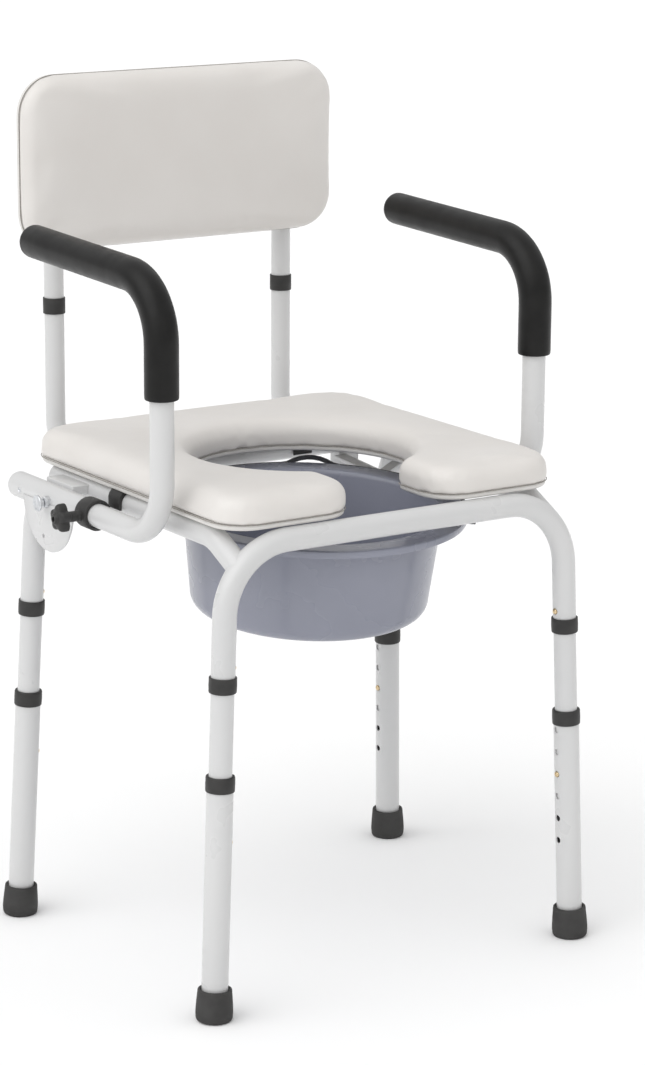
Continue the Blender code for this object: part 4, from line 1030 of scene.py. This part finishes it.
def clip_mesh():
    """Saddle that grips a tube from above; the tube runs along local Y."""
    inner, outer = TUBE_R + GAP, TUBE_R + 0.0034
    low, top = CLIP_BOTTOM - RAIL_Z, SEAT_BOARD_BOTTOM - RAIL_Z + 0.0005
    half, edge = CLIP_WIDTH / 2, 0.0009
    left = [(outer, low + 0.0008), (outer, 0.0060), (outer - 0.0012, 0.0095), (0.0118, top)]
    right = [(-x, z) for x, z in reversed(left)]
    inside = arc((0, 0), inner, 180, 0, 20)
    section = left + right + [(-outer + 0.0010, low), (-inner, low)] + inside + [(inner, low), (outer - 0.0010, low)]
    rings = []
    for y, shrink in ((-half, edge), (-half + edge * 0.4, edge * 0.3), (-half + edge, 0.0), (half - edge, 0.0),
                      (half - edge * 0.4, edge * 0.3), (half, edge)):
        ring = []
        for x, z in section:
            radial = math.hypot(x, z)
            if radial > inner + 1e-4 and z > low + 1e-5:
                x, z = x * (1 - shrink / radial), z * (1 - shrink / radial)
            ring.append(Vector((x, y, z)))
        rings.append(ring)
    return lofted("clip", rings, 40)


def build_back():
    """Cushion, wrapped board, hoop and the posts that carry them."""
    outline = back_outline()
    middle_z = (BACK_TOP + BACK_BOTTOM) / 2
    # local Z of the pad points to the front
    forward = spin(90, "X")

    def plane(y):
        return place(0, y, middle_z) @ forward

    rear, depth = BACK_BOARD_FRONT - GAP, BACK_BOARD_FRONT - GAP - BACK_PAD_FRONT
    cushion = inflate(foam_block("back_cushion", outline, -0.0012, depth - 0.0020, 0.0120), 0.0030, 3.0)
    for vertex in cushion.vertices:
        vertex.co.z = min(max(vertex.co.z, 0.0), depth + 0.0010)
    pad = add_piece("back_cushion", cushion, "vinyl", "backrest", ["back_pad"], plane(rear))
    add_piece("back_seam", cord_round("back_seam", outline, -0.0006, 0.0001, 0.0005, plane(rear)), "seam_thread",
              "backrest", (), None)
    thick = BACK_BOARD_REAR - BACK_BOARD_FRONT
    levels = [(0.0022, 0.0), (0.0004, 0.0004), (-0.0006, 0.0016), (-0.0010, thick / 2), (-0.0006, thick - 0.0016),
              (0.0002, thick - 0.0004), (0.0012, thick)]
    add_piece("back_shell", layered("back_shell", outline, levels, plane(BACK_BOARD_REAR), 50), "board", "backrest",
              ["back_board"])

    foot_z = POST_TOP + 2 * GAP
    left, right = at(-POST_X, POST_Y, foot_z), at(POST_X, POST_Y, foot_z)
    lift = Vector((0, 0, HOOP_TOP - foot_z))
    hoop = tube_mesh("hoop", fillet([left, left + lift, right + lift, right], BACK_BEND_R), POST_R)
    add_piece("back_bow", hoop, "white_paint", "backrest", ["back_hoop"])
    for side_name, side in SIDES.items():
        x = side * POST_X
        spigot = lathe_mesh("spigot", [(0, POST_TOP - 0.050), (0.0082, POST_TOP - 0.050), (0.0092, POST_TOP - 0.048),
                                       (0.0092, POST_TOP + 0.004), (0, POST_TOP + 0.004)], 32)
        add_piece(side_name + "_bow_spigot", spigot, "white_paint", "backrest", (),
                  place(x, POST_Y, 0))
        path = fillet([at(x, REAR_TOP[1], RAIL_Z), at(x, POST_Y, RAIL_Z), at(x, POST_Y, POST_TOP)], BACK_BEND_R)
        post = tube_mesh("post", path, POST_R)
        bore = rod(0.0095, POST_TOP - 0.056, POST_TOP + 0.01, 32)
        bore.transform(place(x, POST_Y, 0))
        add_piece(side_name + "_back_upright", combine(post, [bore], "DIFFERENCE"), "white_paint", "frame",
                  [side_name + "_back_post"])
        collar = lathe_mesh("collar", ring_profile(POST_TOP - 0.009, POST_TOP + 0.009, POST_R + GAP, BACK_COLLAR_R,
                                                   0.0006), 48, True, 50)
        add_piece(side_name + "_back_ring", collar, "dark_plastic", "frame", [side_name + "_back_collar"],
                  place(x, POST_Y, 0))
        weld = weld_bead(POST_R, at(x, REAR_TOP[1], RAIL_Z), Vector((0, 1, 0)))
        add_piece(side_name + "_post_weld", weld, "white_paint", "frame")
        # pan-head screws through the bow into the board
        for number, z in enumerate((0.775, 0.835)):
            head = lathe_mesh("screw", [(0, 0.0012), (0.0008, 0.0004), (0.0014, 0.0021), (0.0028, 0.0017),
                                        (0.0038, 0.0008), (0.0042, 0.0), (0.0042, -0.001), (0, -0.001)], 28)
            add_piece(f"{side_name}_back_screw_{number}", head, "zinc", "backrest", (),
                      place(x, POST_Y + POST_R - 0.0002, z) @ BACKWARD)


# ---------------------------------------------------------------- bucket
def bucket_matrix():
    return place(0, BUCKET_Y, BUCKET_RIM_Z) @ spin(BUCKET_TILT, "X")


def handle_matrix():
    return bucket_matrix() @ spin(HANDLE_TURN, "Z")


def build_bucket():
    wall, corner, base = BUCKET_WALL, BUCKET_CORNER_R, BUCKET_BASE_R
    low = corner - BUCKET_DEPTH
    profile = [(0, wall - BUCKET_DEPTH), (0.050, wall - BUCKET_DEPTH), (0.098, wall - BUCKET_DEPTH)]
    profile += arc((base - corner, low), corner - wall, -90, 0, 8)
    inner_top = BUCKET_MOUTH_R - wall
    profile += [(base - wall + (inner_top - base + wall) * 0.5, low / 2 - 0.001), (inner_top - 0.0002, -0.0060),
                (inner_top + 0.0004, -0.0028), (inner_top + 0.0018, -0.0008), (inner_top + 0.0044, 0.0)]
    rim = BUCKET_FLANGE_R
    profile += [(rim - 0.0200, 0.0), (rim - 0.0140, -0.0001), (rim - 0.0090, -0.0001), (rim - 0.0045, 0.0),
                (rim - 0.0016, -0.0002), (rim - 0.0004, -0.0010), (rim, -0.0024), (rim, -BUCKET_LIP + 0.0012),
                (rim - 0.0005, -BUCKET_LIP + 0.0002), (rim - 0.0011, -BUCKET_LIP), (rim - wall, -BUCKET_LIP + 0.0006),
                (rim - wall, -wall - 0.0010), (rim - wall - 0.0010, -wall), (BUCKET_MOUTH_R + 0.0015, -wall),
                (BUCKET_MOUTH_R, -wall - 0.0015), (BUCKET_MOUTH_R - 0.0004, -0.0060),
                (base + (BUCKET_MOUTH_R - base) * 0.5, low / 2 - 0.001)]
    profile += arc((base - corner, low), corner, 0, -90, 10)
    profile += [(0.096, -BUCKET_DEPTH), (0.093, -BUCKET_DEPTH + 0.0010), (0.050, -BUCKET_DEPTH + 0.0012),
                (0, -BUCKET_DEPTH + 0.0012)]
    mesh = lathe_mesh("pail", profile, 128, False, 40)
    for vertex in mesh.vertices:
        radius = math.hypot(vertex.co.x, vertex.co.y)
        if radius > BUCKET_MOUTH_R + 0.003:
            # the wide flange has sagged into slow waves while cooling
            angle = math.atan2(vertex.co.y, vertex.co.x)
            share = (radius - BUCKET_MOUTH_R) / (BUCKET_FLANGE_R - BUCKET_MOUTH_R)
            wave = 0.5 * math.sin(14 * angle + 0.7) + 0.3 * math.sin(23 * angle + 2.1) - 0.4
            vertex.co.z += 0.00022 * share * min(wave, 0.0)
    pivots = []
    for side in SIDES.values():
        pivot = lathe_mesh("pivot", [(0, BUCKET_FLANGE_R - 0.001), (PIVOT_R, BUCKET_FLANGE_R - 0.001),
                                     (PIVOT_R, HANDLE_R + 0.0026), (PIVOT_R - 0.0005, HANDLE_R + 0.0030),
                                     (0, HANDLE_R + 0.0030)], 20)
        pivot.transform(spin(HANDLE_TURN, "Z")
                        @ shift(0, 0, -BUCKET_LIP / 2) @ spin(side * 90, "Y"))
        pivots.append(pivot)
    add_piece("pail", combine(mesh, pivots, "UNION"), "bucket_plastic", "bucket", ["bucket"], bucket_matrix())


def build_bucket_handle():
    steps = 72
    path = []
    for step in range(steps + 1):
        angle = math.pi * (0.012 + 0.976 * step / steps)
        rise = HANDLE_ARCH * max(0.0, 1 - ((angle - math.radians(HANDLE_ARCH_AT)) / 0.16) ** 2)
        path.append(Vector((HANDLE_R * math.cos(angle), HANDLE_R * math.sin(angle), rise - HANDLE_DROP)))
    wire = tube_mesh("wire", path, HANDLE_WIRE_R, 0.0006, 20)
    eyes, holes = [], []
    for side in SIDES.values():
        rings = []
        for x, inset in ((BUCKET_FLANGE_R + 2 * GAP, 0.0006), (BUCKET_FLANGE_R + 0.0011, 0.0),
                         (HANDLE_R + 0.0039, 0.0), (HANDLE_R + 0.0045, 0.0006)):
            half = 0.0045 - inset
            outline = arc((0.0035, -0.0045), half, -90, 90, 8) + arc((-0.0035, -0.0045), half, 90, 270, 8)
            rings.append([Vector((side * x, y, z)) for y, z in outline])
        eyes.append(lofted("eye", rings))
        hole = rod(PIVOT_R + 0.0004, 0.15, 0.19, 20)
        hole.transform(shift(0, 0, -BUCKET_LIP / 2) @ spin(side * 90, "Y"))
        holes.append(hole)
    handle = combine(combine(wire, eyes, "UNION"), holes, "DIFFERENCE")
    add_piece("bail_handle", handle, "handle_plastic", "bucket_handle", ["bucket_handle"], handle_matrix())


def build_bucket_rails():
    matrix = bucket_matrix()
    top = -BUCKET_LIP - GAP
    for side_name, side in SIDES.items():
        low, high = sorted((side * RAIL_INNER_X, side * RAIL_OUTER_X))
        rail = soft_box("runner", (low, RAIL_FRONT, top - RAIL_THICKNESS), (high, RAIL_BACK, top), 0.0010)
        add_piece(side_name + "_runner", rail, "white_paint", "frame", [side_name + "_bucket_rail"], matrix)
        (x0, y0, z0), (x1, y1, z1) = HANGER
        low, high = sorted((side * x0, side * x1))
        hanger = soft_box("hanger", at(low, y0, z0), at(high, y1, z1 - 0.002), 0.0012)
        add_piece(side_name + "_runner_hanger", hanger, "white_paint", "frame")
        rail_z = BUCKET_RIM_Z + top + (STRAP_Y - BUCKET_Y) * math.tan(math.radians(BUCKET_TILT))
        rise = Vector((SIDE_RAIL_X - RAIL_OUTER_X, 0, RAIL_Z - rail_z))
        strap = soft_box("strap", (-0.0015, -0.008, -0.004), (0.0015, 0.008, rise.length - 0.008), 0.0006)
        slant = Matrix.Rotation(side * math.atan2(rise.x, rise.z), 4, "Y")
        add_piece(side_name + "_runner_strap", strap, "white_paint", "frame", (),
                  place(side * RAIL_OUTER_X, STRAP_Y, rail_z - 0.001) @ slant)


# ---------------------------------------------------------------- stage
def build_floor():
    shape = bmesh.new()
    bmesh.ops.create_grid(shape, x_segments=1, y_segments=1, size=150.0)
    mesh = to_mesh("floor", shape)
    mesh.materials.append(MATERIALS["floor_paper"])
    obj = bpy.data.objects.new("floor", mesh)
    bpy.context.scene.collection.objects.link(obj)
    obj.location.z = -0.0004


def build_world():
    """A bright studio tent: white overhead, a soft key from the left front, dimmer towards the horizon."""
    world = bpy.data.worlds.new("studio")
    bpy.context.scene.world = world
    world.use_nodes = True
    tree = world.node_tree
    background = tree.nodes["Background"]
    direction = tree.nodes.new("ShaderNodeTexCoord").outputs["Generated"]
    total = None
    # each soft panel: direction, how wide it is as a cosine, and its brightness
    panels = (((0.0, 0.0, 1.0), -0.30, 0.95, 0.45), ((-0.70, -0.10, 0.70), 0.72, 0.98, 1.40),
              ((-0.30, -0.93, 0.20), 0.40, 0.95, 0.12))
    for toward, near, far, level in panels:
        dot = tree.nodes.new("ShaderNodeVectorMath")
        dot.operation = "DOT_PRODUCT"
        link(tree, direction, dot.inputs[0])
        dot.inputs[1].default_value = Vector(toward).normalized()
        fade = spread(tree, dot.outputs["Value"], (near, far), (0.0, level))
        fade.interpolation_type = "SMOOTHSTEP"
        if total is None:
            total = fade.outputs["Result"]
        else:
            add = tree.nodes.new("ShaderNodeMath")
            add.operation = "ADD"
            link(tree, total, add.inputs[0])
            link(tree, fade.outputs["Result"], add.inputs[1])
            total = add.outputs["Value"]
    base = tree.nodes.new("ShaderNodeMath")
    base.operation = "ADD"
    base.inputs[1].default_value = 0.46
    link(tree, total, base.inputs[0])
    link(tree, base.outputs["Value"], background.inputs["Strength"])
    background.inputs["Color"].default_value = (1.0, 1.0, 1.0, 1.0)


def build_camera():
    azimuth, elevation = math.radians(CAMERA_AZIMUTH), math.radians(CAMERA_ELEVATION)
    target = Vector((0, -CENTRE_Y, CAMERA_TARGET_Z))
    away = Vector((math.sin(azimuth) * math.cos(elevation), -math.cos(azimuth) * math.cos(elevation),
                   math.sin(elevation)))
    camera = bpy.data.cameras.new("camera")
    camera.sensor_fit = "VERTICAL"
    camera.sensor_height = CAMERA_SENSOR
    camera.lens = CAMERA_LENS
    camera.shift_x, camera.shift_y = CAMERA_SHIFT
    obj = bpy.data.objects.new("camera", camera)
    bpy.context.scene.collection.objects.link(obj)
    turned = (-away).to_track_quat("-Z", "Y").to_matrix().to_4x4()
    obj.matrix_world = (Matrix.Translation(target + away * CAMERA_DISTANCE) @ turned
                        @ spin(CAMERA_ROLL, "Z"))
    bpy.context.scene.camera = obj


bpy.context.scene.view_settings.view_transform = "Standard"
build_frame()
build_legs()
build_arms()
build_seat()
build_back()
build_bucket()
build_bucket_handle()
build_bucket_rails()
build_floor()
build_world()
build_camera()
